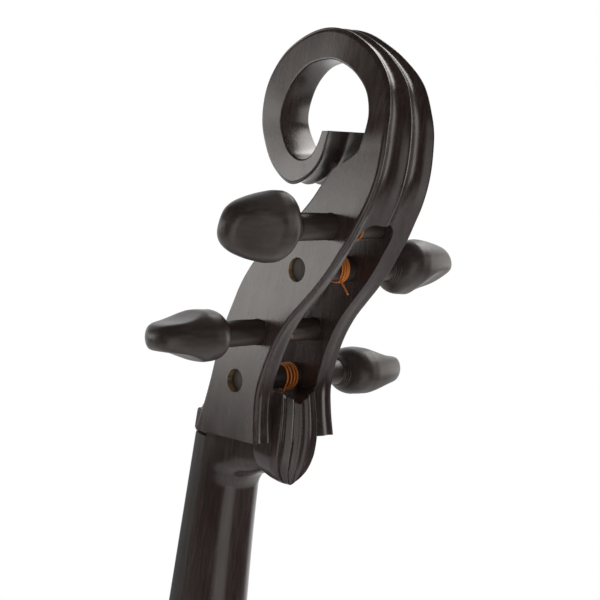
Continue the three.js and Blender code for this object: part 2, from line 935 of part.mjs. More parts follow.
// Height over the top of a crown at which a string of a given radius runs clear of it.
function aboveCrown(x, crownRadius, radius) {
  const steep = crownRadius / Math.sqrt(crownRadius * crownRadius - x * x);
  return (radius + stringClearance) * steep - crownFall(x, crownRadius);
}

function bridgePoint(string) {
  const x = string.place * bridgeSpacing;
  return new THREE.Vector3(x, -bridgeTop - aboveCrown(x, bridgeCrownRadius, string.gauge),
    bridgeHeightPlace);
}

function tailPlaneAt(height) {
  const share = (tailTop - height) / tailpieceLength;
  return coreFront - mix(tailpieceTopRise, tailpieceEndRise, share);
}

function tunerPlace(string) {
  const height = tailTop - tunerSetback;
  const x = string.place * (tailpieceTopWidth - tunerKnobRadius * 3);
  return new THREE.Vector3(x, tailPlaneAt(height), height);
}

// The end of a string in front of the hook of its tuner.
function hookPoint(string) {
  const tuner = tunerPlace(string);
  return new THREE.Vector3(tuner.x, tuner.y - leverHookHeight / 2,
    tuner.z + leverThickness / 2 + clearance + ballRadius * ballTiltShare);
}

function stringRoute(string) {
  const shift = new THREE.Vector3(0, -neckSetForward, headBase);
  const course = windingCourse(string);
  // The strand lies beside the last loop, so that the winding turns free of it.
  const start = course[course.length - 1].clone();
  start.x += string.side * (silkRadius * 2 + clearance);
  const nut = nutPoint(string);
  const nutBack = nutBackPoint(string);
  const bridge = bridgePoint(string);
  const hook = hookPoint(string);
  const down = bridge.clone().sub(nut.clone().add(shift)).normalize();
  const after = hook.clone().sub(bridge).normalize();
  const overBridge = new THREE.Vector3(0, 0, bridgeTopThickness / 2 + clearance * 2);
  const ballStart = hook.clone().addScaledVector(after, -ballLength);
  return [start.add(shift), nutBack.add(shift), nut.clone().add(shift),
    nut.clone().add(shift).addScaledVector(down, nutLength),
    nut.clone().add(shift).addScaledVector(down, nutLength * 2),
    bridge.clone().add(overBridge), bridge.clone().sub(overBridge),
    ballStart.clone().addScaledVector(after, -ballLength / 2), ballStart, hook];
}

function stringGeometry(string) {
  const points = stringRoute(string);
  const silkPoints = 4;
  const radii = points.map((p, k) => {
    if (k >= points.length - 2) {
      return ballRadius;
    }
    if (k === 0) {
      return silkRadius;
    }
    return k < silkPoints ? nutRadius(string) : string.gauge;
  });
  return tube(points, radii, stringSides);
}

function buildNeck() {
  addPiece(neckGroup, 'neck_and_head', neckAndHead(), blackWood);
  addPiece(neckGroup, 'nut', nutGeometry(), ebony);
  addPiece(neckGroup, 'fingerboard', fingerboardGeometry(), ebony);
  strings.forEach(string => {
    addPiece(neckGroup, `peg_${string.name}`, pegGeometry(string), pegWood);
    const course = windingCourse(string);
    addPiece(neckGroup, `winding_${string.name}`, tube(course, silkRadius, silkSides), silk);
    console.log(`winding_${string.name} least gap ${leastGap(course, silkRadius).toFixed(2)} mm`);
    addPiece(cello, `string_${string.name}`, stringGeometry(string), windingSteel);
  });
}

function crownedRing(height, half, under, edge, top) {
  const ring = [new THREE.Vector3(-half, under, height), new THREE.Vector3(half, under, height)];
  const steps = 8;
  for (let k = 0; k <= steps; k += 1) {
    const x = half - 2 * half * k / steps;
    const share = 1 - (x / half) ** 2;
    ring.push(new THREE.Vector3(x, -mix(edge, top, share), height));
  }
  return ring;
}

function nutGeometry() {
  const half = neckWidthAtNut / 2;
  const under = neckFrontAt(nutFoot) - clearance;
  const edge = boardEdgeAtNut + nutAboveBoard;
  return loft(nutFallShares.map(([share, fall]) => crownedRing(nutFoot + share * nutLength, half, under,
    edge - fall * nutBackFall, nutCrown() - fall * nutBackFall)));
}

function fingerboardGeometry() {
  const ringAt = run => {
    const height = -headAboveNutEdge - run * boardLength;
    const edge = mix(boardEdgeAtNut, boardEdgeAtEnd, run);
    return crownedRing(height, neckHalfWidthAt(height), neckFrontAt(height) - clearance, edge,
      boardTopAt(height));
  };
  return loft(boardRunShares.map(ringAt));
}

// Body core, wings and their screws

function coreHalfWidthAt(height) {
  const share = (bodyTop - height) / bodyLength;
  const after = coreShares.findIndex(row => row[0] >= share);
  const [upper, lower] = [coreShares[Math.max(after - 1, 0)], coreShares[Math.max(after, 1)]];
  return mix(upper[1], lower[1], (share - upper[0]) / (lower[0] - upper[0])) * coreWidth / 2;
}

function coreShape() {
  const side = sign => coreShares.map(([down, half]) => new THREE.Vector2(sign * half * coreWidth / 2,
    bodyTop - down * bodyLength));
  return new THREE.Shape([...side(1), ...side(-1).reverse()].reverse());
}

function wingPoints(rows) {
  return rows.map(([down, half]) => new THREE.Vector2(half * lowerBoutWidth / 2,
    bodyTop - down * bodyLength));
}

function wingOutline() {
  const pointsPerSpan = 3;
  const curve = rows => smoothLine(wingPoints(rows), (rows.length - 1) * pointsPerSpan);
  return [...curve(wingOuterShares), ...wingPoints(wingUpperCornerShares), ...curve(wingWaistShares),
    ...wingPoints(wingLowerCornerShares), ...curve(wingLowerShares)];
}

function insetLine(line, distance) {
  return line.map((point, k) => {
    const before = line[Math.max(k - 1, 0)];
    const after = line[Math.min(k + 1, line.length - 1)];
    const along = after.clone().sub(before).normalize();
    return new THREE.Vector2(point.x + along.y * distance, point.y - along.x * distance);
  });
}

// Middle heights of the two arms of a wing, where its tongues are.
function tongueHeights() {
  const outer = wingOutline();
  return [outer[0].y - wingRail / 2, outer[outer.length - 1].y + wingRail / 2];
}

function wingShape(side) {
  const outer = wingOutline();
  const inner = insetLine(outer, wingRail).slice(2, -2);
  const flank = height => coreHalfWidthAt(height) + clearance;
  const top = outer[0];
  const tail = outer[outer.length - 1];
  const line = [
    new THREE.Vector2(flank(top.y), top.y), ...outer.slice(1, -1), new THREE.Vector2(flank(tail.y), tail.y),
    new THREE.Vector2(flank(tail.y + wingRail), tail.y + wingRail), ...inner.reverse(),
    new THREE.Vector2(flank(top.y - wingRail), top.y - wingRail),
  ];
  return new THREE.Shape(line.map(p => new THREE.Vector2(side * p.x, p.y)));
}

function tongue(side, height, gap) {
  const middle = -(wingBack + wingDepth / 2);
  const flank = coreHalfWidthAt(height);
  const inner = side * (flank - tongueLength - gap);
  const outer = side * (flank + wingRail / 2);
  return block(Math.min(inner, outer), Math.max(inner, outer), middle - tongueThickness / 2 - gap,
    middle + tongueThickness / 2 + gap, height - tongueWidth / 2 - gap, height + tongueWidth / 2 + gap);
}

function wingScrewX(side, height) {
  return side * (coreHalfWidthAt(height) - tongueLength / 2);
}

// A screw from the back of the core: its head lies flush in a recess and its shank runs forward.
function backScrew(length, gap) {
  const top = gap > 0 ? overrun : -clearance;
  const seat = -clearance - screwHeadHeight - gap;
  return turned('y', [[-clearance - length - gap, screwRadius + gap], [seat, screwRadius + gap],
    [seat, screwHeadRadius + gap], [top, screwHeadRadius + gap]], fineSides);
}

function wingGeometry(side) {
  const rail = plate(wingShape(side), -wingBack, wingDepth, wingBevel);
  const whole = joined([rail, ...tongueHeights().map(height => tongue(side, height, 0))]);
  return cutFrom(whole, tongueHeights().map(height => backScrew(wingScrewLength, clearance)
    .translate(wingScrewX(side, height), 0, height)));
}

function coreGeometry() {
  const cutters = [
    block(-tenonWidth / 2 - clearance, tenonWidth / 2 + clearance, coreFront - overrun,
      tenonDepth - neckSetForward + clearance, bodyTop - tenonLength - clearance, bodyTop + overrun),
    ...neckScrewPlaces().map(height => backScrew(neckScrewLength, clearance)
      .translate(0, 0, headBase + height)),
    turned('z', [[bodyTail - overrun, rodRadius + rodRunningGap],
      [bodyTail + rodBoreDepth, rodRadius + rodRunningGap]])
      .translate(0, -endpinDepth, 0),
    turned('z', [[bodyTail - overrun, collarPlugRadius + clearance],
      [bodyTail + collarPlugLength + clearance, collarPlugRadius + clearance]])
      .translate(0, -endpinDepth, 0),
    cavityBlock(),
    leadChannel(),
    batteryPocket(),
    saddleNotch(),
    ...[-1, 1].map(side => piezoBlock(side, clearance)),
    ...[-1, 1].flatMap(side => tongueHeights().map(height => tongue(side, height, clearance))),
    ...[-1, 1].flatMap(side => tongueHeights().map(height => backScrew(wingScrewLength, clearance)
      .translate(wingScrewX(side, height), 0, height))),
    ...plateScrewPlaces().map(height => sideScrew(clearance).translate(0, plateMiddle, height)),
  ];
  return cutFrom(plate(coreShape(), 0, coreDepth, coreBevel), cutters);
}

// Bridge and pickup

function piezoBlock(side, gap) {
  const inner = bridgeWidth / 2 * bridgeShares[0][0] + clearance;
  const outer = bridgeWidth / 2 - clearance;
  const half = bridgeFootThickness / 2 - clearance;
  const sides = [side * inner, side * outer].sort((a, b) => a - b);
  const floor = coreFront + piezoThickness - piezoProud;
  return block(sides[0] - gap, sides[1] + gap, coreFront - (gap > 0 ? overrun : piezoProud), floor + gap,
    bridgeHeightPlace - half - gap, bridgeHeightPlace + half + gap);
}

function bridgeGeometry() {
  const half = bridgeWidth / 2;
  const foot = coreDepth + piezoProud + clearance;
  const tall = bridgeTop - foot;
  const place = (x, up) => new THREE.Vector2(x * half, foot + up * tall);
  const shoulder = bridgeShares[bridgeShares.length - 1][0];
  const crownSteps = 8;
  const top = [];
  for (let k = 0; k <= crownSteps; k += 1) {
    const x = mix(shoulder, -shoulder, k / crownSteps) * half;
    top.push(new THREE.Vector2(x, bridgeTop - crownFall(x, bridgeCrownRadius)));
  }
  const right = bridgeShares.map(([x, up]) => place(x, up));
  const left = [...bridgeShares].reverse().map(([x, up]) => place(-x, up));
  const arch = [...bridgeArchShares.map(([x, up]) => place(-x, up)),
    ...[...bridgeArchShares].reverse().slice(1).map(([x, up]) => place(x, up))];
  const shape = new THREE.Shape([...right, ...top, ...left, ...arch]);
  bridgeHoleShares.forEach(([x, up, wide, high]) => {
    const hole = new THREE.Path();
    hole.absellipse(x * half, foot + up * tall, wide * half, high * tall, 0, 2 * Math.PI, true);
    shape.holes.push(hole);
  });
  const geometry = new THREE.ExtrudeGeometry(shape, { depth: 1, bevelEnabled: false, curveSegments: 5 });
  const points = geometry.attributes.position;
  for (let k = 0; k < points.count; k += 1) {
    const share = (points.getY(k) - foot) / tall;
    const thick = mix(bridgeFootThickness, bridgeTopThickness, share);
    points.setXYZ(k, points.getX(k), -points.getY(k),
      bridgeHeightPlace + mix(thick, -thick, points.getZ(k)) / 2);
  }
  return toGeometry(toSolid(geometry));
}

// Tailpiece and fine tuners

function tailpieceGeometry() {
  const ringAt = share => {
    const height = mix(tailTop, tailEnd, share);
    const half = mix(tailpieceTopWidth, tailpieceEndWidth, share) / 2;
    const plane = -tailPlaneAt(height);
    return crownedRing(height, half, -(plane - tailpieceThickness), plane - tailpieceCrown, plane);
  };
  const cutters = strings.flatMap(string => {
    const tuner = tunerPlace(string);
    const deep = tailpieceThickness + overrun;
    return [
      block(tuner.x - tunerSlotWidth / 2, tuner.x + tunerSlotWidth / 2, tuner.y - overrun, tuner.y + deep,
        tuner.z - tunerSlotLength / 2, tuner.z + tunerSlotLength / 2),
      turned('y', [[-overrun, tunerScrewRadius + clearance], [deep, tunerScrewRadius + clearance]],
        fineSides)
        .translate(tuner.x, tuner.y, tuner.z - tunerScrewSetback),
      turned('x', [[-leverPinReach - clearance, leverPinRadius + clearance],
        [leverPinReach + clearance, leverPinRadius + clearance]], fineSides)
        .translate(tuner.x, tuner.y + tailpieceThickness / 2, tuner.z),
    ];
  });
  const cordHoles = [-1, 1].map(side => turned('z', [[tailEnd - overrun, tailCordRadius + clearance],
    [tailEnd + tailCordSeat + clearance, tailCordRadius + clearance]], fineSides)
    .translate(side * tailCordSpread, tailCordStart().y, 0));
  return cutFrom(loft(tailpieceRunShares.map(ringAt)), [...cutters, ...cordHoles]);
}

// The arm lies under the slanting back of the tailpiece, which falls lowest at the end of the arm.
function leverArmPlace(tuner) {
  return tailPlaneAt(tuner.z - tunerScrewSetback - leverThickness / 2) + tailpieceThickness + leverDrop;
}

function leverGeometry(string) {
  const tuner = tunerPlace(string);
  const half = leverThickness / 2;
  const under = leverArmPlace(tuner);
  const upright = block(tuner.x - half, tuner.x + half, tuner.y - leverHookHeight, under + leverThickness,
    tuner.z - half, tuner.z + half);
  const arm = block(tuner.x - half, tuner.x + half, under, under + leverThickness,
    tuner.z - tunerScrewSetback - half, tuner.z + half);
  const pin = turned('x', [[-leverPinReach, leverPinRadius], [leverPinReach, leverPinRadius]], fineSides)
    .translate(tuner.x, tuner.y + tailpieceThickness / 2, tuner.z);
  return joined([upright, arm, pin]);
}

function tunerScrewGeometry(string) {
  const tuner = tunerPlace(string);
  const tip = leverArmPlace(tuner) - clearance;
  const seat = tailPlaneAt(tuner.z - tunerScrewSetback) - tunerKnobStandoff;
  return turned('y', [[tip, tunerScrewRadius], [seat, tunerScrewRadius], [seat, tunerKnobRadius],
    [seat - tunerKnobHeight, tunerKnobRadius]], fineSides)
    .translate(tuner.x, 0, tuner.z - tunerScrewSetback);
}

function tailCordStart() {
  return new THREE.Vector3(0, tailPlaneAt(tailEnd) + tailpieceThickness / 2, tailEnd + tailCordSeat);
}

function tailCordRoute() {
  const crest = coreFront - saddleProud - clearance - tailCordRadius;
  const groove = bodyTail - collarGrooveLength / 2;
  const steps = 12;
  const loopRadius = (collarGrooveRadius + clearance + tailCordRadius) / Math.cos(Math.PI / steps / 2);
  const start = tailCordStart();
  const half = side => [
    new THREE.Vector3(side * tailCordSpread, start.y, start.z),
    new THREE.Vector3(side * tailCordSpread, start.y, tailEnd - tailCordRadius),
    new THREE.Vector3(side * tailCordSpread, crest, bodyTail + saddleDepth),
    new THREE.Vector3(side * tailCordSpread, crest, bodyTail + clearance),
    new THREE.Vector3(side * tailCordSpread, crest + tailCordRadius, groove),
    new THREE.Vector3(side * (tailCordSpread + loopRadius) / 2, (crest - endpinDepth) / 2, groove),
    new THREE.Vector3(side * loopRadius, -endpinDepth, groove),
  ];
  const bottom = [];
  for (let k = 1; k < steps; k += 1) {
    const angle = Math.PI * k / steps;
    bottom.push(new THREE.Vector3(loopRadius * Math.cos(angle),
      -endpinDepth + loopRadius * Math.sin(angle), groove));
  }
  return [...half(1), ...bottom, ...half(-1).reverse()];
}

function saddleNotch() {
  return block(-saddleWidth / 2 - clearance, saddleWidth / 2 + clearance, coreFront - overrun,
    coreFront + saddleDrop + clearance, bodyTail - overrun, bodyTail + saddleDepth + clearance);
}

function saddleGeometry() {
  const round = saddleProud / 2;
  const shape = new THREE.Shape([
    new THREE.Vector2(coreFront + saddleDrop, bodyTail - saddleOverhang),
    new THREE.Vector2(coreFront + saddleDrop, bodyTail + saddleDepth),
    new THREE.Vector2(coreFront - round, bodyTail + saddleDepth),
    new THREE.Vector2(coreFront - saddleProud, bodyTail + saddleDepth - round),
    new THREE.Vector2(coreFront - saddleProud, bodyTail + round),
    new THREE.Vector2(coreFront - round, bodyTail - saddleOverhang),
  ]);
  const geometry = new THREE.ExtrudeGeometry(shape, { depth: saddleWidth, bevelEnabled: false });
  const points = geometry.attributes.position;
  for (let k = 0; k < points.count; k += 1) {
    points.setXYZ(k, points.getZ(k) - saddleWidth / 2, points.getX(k), points.getY(k));
  }
  return toGeometry(toSolid(geometry));
}

// Endpin

const housingTop = bodyTail - collarGrooveLength;
const housingEnd = housingTop - collarLength;
const clampHeight = housingTop - collarLength / 2;

function collarGeometry() {
  const bore = rodRadius + rodRunningGap;
  const body = sleeve('z', [
    [bodyTail + collarPlugLength, bore], [bodyTail + collarPlugLength, collarPlugRadius],
    [bodyTail, collarPlugRadius], [bodyTail, collarGrooveRadius], [housingTop, collarGrooveRadius],
    [housingTop, collarRadius], [housingEnd + collarChamfer, collarRadius],
    [housingEnd, collarRadius - collarChamfer], [housingEnd, bore],
  ]).translate(0, -endpinDepth, 0);
  const hole = turned('y', [[-collarRadius - overrun, clampRadius + clearance],
    [0, clampRadius + clearance]], fineSides)
    .translate(0, -endpinDepth, clampHeight);
  return cutFrom(body, [hole]);
}

function clampScrewGeometry() {
  const knob = collarRadius + clampKnobStandoff;
  return turned('y', [
    [-rodRadius - clearance, clampRadius], [-knob, clampRadius], [-knob, clampKnobRadius * clampNeckShare],
    [-knob - clampKnobLength * clampNeckShare, clampKnobRadius], [-knob - clampKnobLength, clampKnobRadius],
  ], fineSides).translate(0, -endpinDepth, clampHeight);
}

const rodEnd = bodyTail - rodOutside;

function rodGeometry() {
  return turned('z', [[rodEnd, rodRadius - rodPoint], [rodEnd + rodPoint, rodRadius],
    [rodEnd + rodLength - rodPoint, rodRadius], [rodEnd + rodLength, rodRadius - rodPoint]])
    .translate(0, -endpinDepth, 0);
}

function rubberTipGeometry() {
  const floor = rodEnd - clearance;
  const foot = floor - tipFloor;
  return turned('z', [[floor, rodRadius + clearance], [foot + tipLength, rodRadius + clearance],
    [foot + tipLength, rodRadius + tipWall], ...tipShares.map(([up, out]) => [foot + up * tipLength,
      mix(rodRadius + tipWall, tipRadius, out)]), [foot, tipFootRadius]])
    .translate(0, -endpinDepth, 0);
}

// Controls

const flank = coreWidth / 2;
const plateTop = bridgeHeightPlace - plateDownShare * belowBridge + plateLength / 2;
const plateEnd = plateTop - plateLength;
const plateMiddle = -coreDepth / 2;
const plateInner = flank + clearance;
const plateOuter = plateInner + plateThickness;

const controls = ['volume', 'tone', 'output', 'headphone'];

function controlHeight(index) {
  const middle = (plateTop + plateEnd) / 2;
  return middle + ((controls.length - 1) / 2 - index) * controlPitch;
}

function plateScrewPlaces() {
  const inset = cavityMargin / 2;
  return [plateTop - inset, plateEnd + inset];
}

function cavityBlock() {
  return block(flank - cavityDepth, flank + overrun, plateMiddle - plateHeight / 2 + cavityMargin / 2,
    plateMiddle + plateHeight / 2 - cavityMargin / 2, plateEnd + cavityMargin, plateTop - cavityMargin);
}

function sideScrew(gap) {
  const face = plateOuter + clearance;
  return turned('x', [[face - smallScrewLength - gap, smallScrewRadius + gap],
    [face, smallScrewRadius + gap],
    [face, smallScrewHeadRadius + gap], [face + smallScrewHeadHeight, smallScrewHeadRadius + gap]],
      fineSides);
}

function plateGeometry() {
  const radii = [bushingRadius, bushingRadius, jackRadius, smallJackRadius];
  const holes = radii.map((radius, index) => turned('x',
    [[plateInner - overrun, radius + clearance], [plateOuter + overrun, radius + clearance]])
    .translate(0, plateMiddle, controlHeight(index)));
  const screwHoles = plateScrewPlaces().map(height => turned('x',
    [[plateInner - overrun, smallScrewRadius + clearance],
    [plateOuter + overrun, smallScrewRadius + clearance]], fineSides).translate(0, plateMiddle, height));
  return cutFrom(block(plateInner, plateOuter, plateMiddle - plateHeight / 2, plateMiddle + plateHeight / 2,
    plateEnd, plateTop), [...holes, ...screwHoles]);
}

function potGeometry(index) {
  const back = plateInner - clearance - potDepth;
  return turned('x', [[back, potRadius], [plateInner - clearance, potRadius],
    [plateInner - clearance, bushingRadius],
    [plateOuter, bushingRadius], [plateOuter, spindleRadius + clearance],
    [back + spindleSeat, spindleRadius + clearance]]).translate(0, plateMiddle, controlHeight(index));
}

function spindleGeometry(index) {
  const back = plateInner - clearance - potDepth + spindleSeat + clearance;
  return turned('x', [[back, spindleRadius], [knobFace() - knobRoof - clearance, spindleRadius]], fineSides)
    .translate(0, plateMiddle, controlHeight(index));
}

function knobFace() {
  return plateOuter + knobStandoff + knobHeight;
}

function knobGeometry(index) {
  const foot = plateOuter + knobStandoff;
  return turned('x', [[knobFace() - knobRoof, spindleRadius + clearance], [foot, spindleRadius + clearance],
    [foot, knobRadius], [knobFace() - knobRound, knobRadius * knobTopShare],
    [knobFace(), knobRadius * knobTopShare - knobRound]]).translate(0, plateMiddle, controlHeight(index));
}

function jackGeometry(index, radius, bore, depth, flangeRadius) {
  const seat = plateOuter + clearance;
  return sleeve('x', [[plateInner - depth, bore], [plateInner - depth, radius], [seat, radius],
    [seat, flangeRadius],
    [seat + jackFlangeHeight, flangeRadius], [seat + jackFlangeHeight, bore]])
    .translate(0, plateMiddle, controlHeight(index));
}

function circuitGeometry() {
  const floor = flank - cavityDepth + clearance;
  const half = circuitHeight / 2;
  const middle = (plateTop + plateEnd) / 2;
  const slab = block(floor, floor + circuitThickness, plateMiddle - half, plateMiddle + half,
    middle - circuitLength / 2, middle + circuitLength / 2);
  const chips = circuitPartShares.map(([along, across, wide, high]) => block(floor,
    floor + circuitThickness + chipHeight,
    plateMiddle + (across - wide) * half, plateMiddle + (across + wide) * half,
    middle + (along - high) * circuitLength / 2, middle + (along + high) * circuitLength / 2));
  return joined([slab, ...chips]);
}

function leadEnds() {
  const inner = bridgeWidth / 2 * bridgeShares[0][0];
  const x = (inner + bridgeWidth / 2) / 2;
  return [
    new THREE.Vector3(x, coreFront + piezoThickness - piezoProud + leadRadius + clearance,
      bridgeHeightPlace),
    new THREE.Vector3(x, plateMiddle, plateTop - cavityMargin - leadReach),
  ];
}

function leadChannel() {
  const [start, end] = leadEnds();
  const along = end.clone().sub(start).normalize();
  return tube([start.clone().addScaledVector(along, -leadChannelRadius), end], leadChannelRadius,
    silkSides + 2);
}

function leadGeometry() {
  const [start, end] = leadEnds();
  const low = (plateTop + plateEnd) / 2 + circuitLength / 2;
  const seat = flank - cavityDepth + circuitThickness + clearance * 2 + leadRadius;
  return tube([start, start.clone().add(end).divideScalar(2), end,
    new THREE.Vector3(mix(end.x, seat, leadBendShare), plateMiddle, end.z - leadReach / 2),
    new THREE.Vector3(seat, plateMiddle, low - leadReach / 2),
    new THREE.Vector3(seat, plateMiddle, low - leadReach)], leadRadius, stringSides);
}

// Battery

const batteryRight = -batteryFromMiddle;
const batteryLeft = batteryRight - batteryWidth;
const batteryTop = bridgeHeightPlace - batteryDownShare * belowBridge;
const batteryEnd = batteryTop - batteryLength;
const batteryBack = -doorThickness - clearance - batteryGap;
const hingeRoom = (doorKnuckleRadius + clearance) * 2;
const boxLeft = batteryLeft - batteryGap - hingeRoom - boxWall;
const boxRight = batteryRight + batteryGap + boxWall;
const boxTop = batteryTop + batteryGap + boxWall;
const boxEnd = batteryEnd - batteryGap - boxWall;
const boxFloor = batteryBack - batteryDepth - batteryGap - boxWall;
const hingeX = boxLeft + boxWall + clearance + doorKnuckleRadius;
const hingeY = -doorKnuckleRadius;

function batteryPocket() {
  return block(boxLeft - clearance, boxRight + clearance, boxFloor - clearance, overrun,
    boxEnd - clearance, boxTop + clearance);
}

function hingeBore() {
  return turned('z', [[boxEnd - overrun, doorPinRadius + clearance],
    [boxTop + overrun, doorPinRadius + clearance]],
    fineSides).translate(hingeX, hingeY, 0);
}

// The box holds the battery and, beside it, the barrel of the door, whose pin runs through the end walls.
function batteryBoxGeometry() {
  const hollow = block(batteryLeft - batteryGap, batteryRight + batteryGap, boxFloor + boxWall, overrun,
    boxEnd + boxWall, boxTop - boxWall);
  const barrelRoom = block(boxLeft + boxWall, batteryLeft, -hingeRoom, overrun, boxEnd + boxWall,
    boxTop - boxWall);
  return cutFrom(block(boxLeft, boxRight, boxFloor, 0, boxEnd, boxTop), [hollow, barrelRoom, hingeBore()]);
}

function batteryGeometry() {
  const shoulder = batteryTop - studHeight;
  const body = block(batteryLeft, batteryRight, batteryBack - batteryDepth, batteryBack, batteryEnd,
    shoulder);
  const studs = studShares.map(share => turned('z',
    [[shoulder - studHeight, studRadius], [batteryTop, studRadius]],
    fineSides).translate(mix(batteryLeft, batteryRight, share), batteryBack - batteryDepth / 2, 0));
  return joined([body, ...studs]);
}

function doorGeometry() {
  const low = boxEnd + boxWall + clearance;
  const high = boxTop - boxWall - clearance;
  const edge = boxRight - boxWall - clearance;
  const middle = (low + high) / 2;
  const leaf = block(hingeX, edge, -doorThickness, 0, low, high);
  const barrel = turned('z', [[low, doorKnuckleRadius], [high, doorKnuckleRadius]], roundSides)
    .translate(hingeX, hingeY, 0);
  const fingerNotch = block(edge - pullWidth, edge + overrun, -pullDepth, overrun,
    middle - pullLength / 2, middle + pullLength / 2);
  return cutFrom(joined([leaf, barrel]), [fingerNotch, hingeBore()]);
}

function hingePinGeometry() {
  return turned('z', [[boxEnd, doorPinRadius], [boxTop, doorPinRadius]], fineSides)
    .translate(hingeX, hingeY, 0);
}

// Assembly

function buildBody() {
  addPiece(cello, 'body_core', coreGeometry(), blackWood);
  [['upper', 0], ['lower', 1]].forEach(([word, index]) => {
    addPiece(cello, `neck_screw_${word}`, backScrew(neckScrewLength, 0)
      .translate(0, 0, headBase + neckScrewPlaces()[index]), brightMetal);
  });
  [['bass', -1], ['treble', 1]].forEach(([word, side]) => {
    addPiece(cello, `wing_${word}`, wingGeometry(side), blackWood);
    tongueHeights().forEach((height, index) => {
      addPiece(cello, `wing_screw_${word}_${['upper', 'lower'][index]}`, backScrew(wingScrewLength, 0)
        .translate(wingScrewX(side, height), 0, height), brightMetal);
    });
    addPiece(cello, `piezo_${word}`, piezoBlock(side, 0), brightMetal);
  });
  addPiece(cello, 'bridge', bridgeGeometry(), maple);
  addPiece(cello, 'saddle', saddleGeometry(), ebony);
}

function buildTail() {
  addPiece(cello, 'tailpiece', tailpieceGeometry(), ebony);
  strings.forEach(string => {
    addPiece(cello, `tuner_lever_${string.name}`, leverGeometry(string), blackMetal);
    addPiece(cello, `tuner_screw_${string.name}`, tunerScrewGeometry(string), blackMetal);
  });
  addPiece(cello, 'tail_cord', tube(tailCordRoute(), tailCordRadius, stringSides), blackPlastic);
  addPiece(cello, 'endpin_collar', collarGeometry(), ebony);
  addPiece(cello, 'endpin_clamp_screw', clampScrewGeometry(), brightMetal);
  addPiece(cello, 'endpin_rod', rodGeometry(), brightMetal);
  addPiece(cello, 'rubber_tip', rubberTipGeometry(), rubber);
}

function buildControls() {
  addPiece(cello, 'control_plate', plateGeometry(), blackMetal);
  [['upper', 0], ['lower', 1]].forEach(([word, index]) => {
    addPiece(cello, `plate_screw_${word}`, sideScrew(0)
      .translate(0, plateMiddle, plateScrewPlaces()[index]), brightMetal);
  });
  [['volume', 0], ['tone', 1]].forEach(([word, index]) => {
    addPiece(cello, `${word}_pot`, potGeometry(index), brightMetal);
    addPiece(cello, `${word}_spindle`, spindleGeometry(index), brightMetal);
    addPiece(cello, `${word}_knob`, knobGeometry(index), blackPlastic);
  });
  addPiece(cello, 'output_jack', jackGeometry(2, jackRadius, jackBore, jackDepth, jackFlangeRadius),
    brightMetal);
  addPiece(cello, 'headphone_jack', jackGeometry(3, smallJackRadius, smallJackBore, smallJackDepth,
    smallJackFlangeRadius), brightMetal);
  addPiece(cello, 'preamp_board', circuitGeometry(), circuitGreen);
  addPiece(cello, 'piezo_lead', leadGeometry(), blackPlastic);
  addPiece(cello, 'battery_box', batteryBoxGeometry(), blackPlastic);
  addPiece(cello, 'battery', batteryGeometry(), brightMetal);
  addPiece(cello, 'battery_door', doorGeometry(), blackPlastic);
  addPiece(cello, 'door_hinge_pin', hingePinGeometry(), brightMetal);
}

buildNeck();
buildBody();
buildTail();
buildControls();

export default cello;
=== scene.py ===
"""Looks of a full-size electric cello.

Sizes are in millimetres in the frame of the instrument: +Z runs up along the neck, -Y faces the bow,
+X is the treble side. Head pieces are drawn in the frame of the neck, whose origin is at the foot of the
head, and every mesh is turned to metres when it is made.
"""

import logging
import math
from dataclasses import dataclass, field
from enum import Enum
from typing import Callable, Dict, List, Optional, Sequence, Tuple

import bmesh
import bpy
from mathutils import Matrix, Vector


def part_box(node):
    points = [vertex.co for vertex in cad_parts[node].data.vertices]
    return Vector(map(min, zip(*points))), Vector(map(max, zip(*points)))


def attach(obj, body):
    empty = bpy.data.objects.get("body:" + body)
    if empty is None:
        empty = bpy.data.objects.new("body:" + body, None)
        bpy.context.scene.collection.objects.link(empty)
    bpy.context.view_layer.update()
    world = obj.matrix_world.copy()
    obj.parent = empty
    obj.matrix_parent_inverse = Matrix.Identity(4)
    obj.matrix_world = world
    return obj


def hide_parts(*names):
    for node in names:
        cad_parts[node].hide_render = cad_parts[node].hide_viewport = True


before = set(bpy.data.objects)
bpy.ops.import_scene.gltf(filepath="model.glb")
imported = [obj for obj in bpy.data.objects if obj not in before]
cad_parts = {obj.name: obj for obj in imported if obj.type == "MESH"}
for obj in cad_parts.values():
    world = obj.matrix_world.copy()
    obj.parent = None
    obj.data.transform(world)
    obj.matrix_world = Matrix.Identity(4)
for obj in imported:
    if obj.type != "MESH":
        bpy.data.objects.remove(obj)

log = logging.getLogger("cello")

Pair = Tuple[float, float]
Pairs = Tuple[Pair, ...]
Row = Sequence[float]
Rows = Tuple[Row, ...]
Triple = Tuple[float, float, float]
Screen = Tuple[int, int, int]
Piece = bpy.types.Object
Tree = bpy.types.NodeTree
Socket = bpy.types.NodeSocket
Sockets = bpy.types.bpy_prop_collection

MM = 0.001
BODY_TOP = 330.0
BODY_LENGTH = 755.0
BODY_TAIL = BODY_TOP - BODY_LENGTH
NECK_LENGTH = 280.0
NUT_EDGE = BODY_TOP + NECK_LENGTH
STRING_LENGTH = 690.0
BRIDGE_PLACE = NUT_EDGE - STRING_LENGTH
NECK_FORWARD = 75.0
HEAD_ABOVE_NUT = 8.6
HEAD_BASE = NUT_EDGE + HEAD_ABOVE_NUT
HEEL_FOOT = -(HEAD_ABOVE_NUT + NECK_LENGTH)
TENON_HALF = 14.0
TENON_BACK = 57.0
TENON_LENGTH = 55.0
CORE_DEPTH = 45.0
CROWN_RADIUS = 66.0
BOARD_EDGES = (12.0, 25.4)
BRIDGE_TOP = NECK_FORWARD + 42.6
NUT_FOOT = -HEAD_ABOVE_NUT + 0.5
NUT_THICKNESS = 11.4
NUT_RISE = 1.2
NUT_SPACING = 22.6
SILK_RADIUS = 0.65
NECK_SCREW_LENGTH = 40.0
WING_SCREW_LENGTH = 30.0
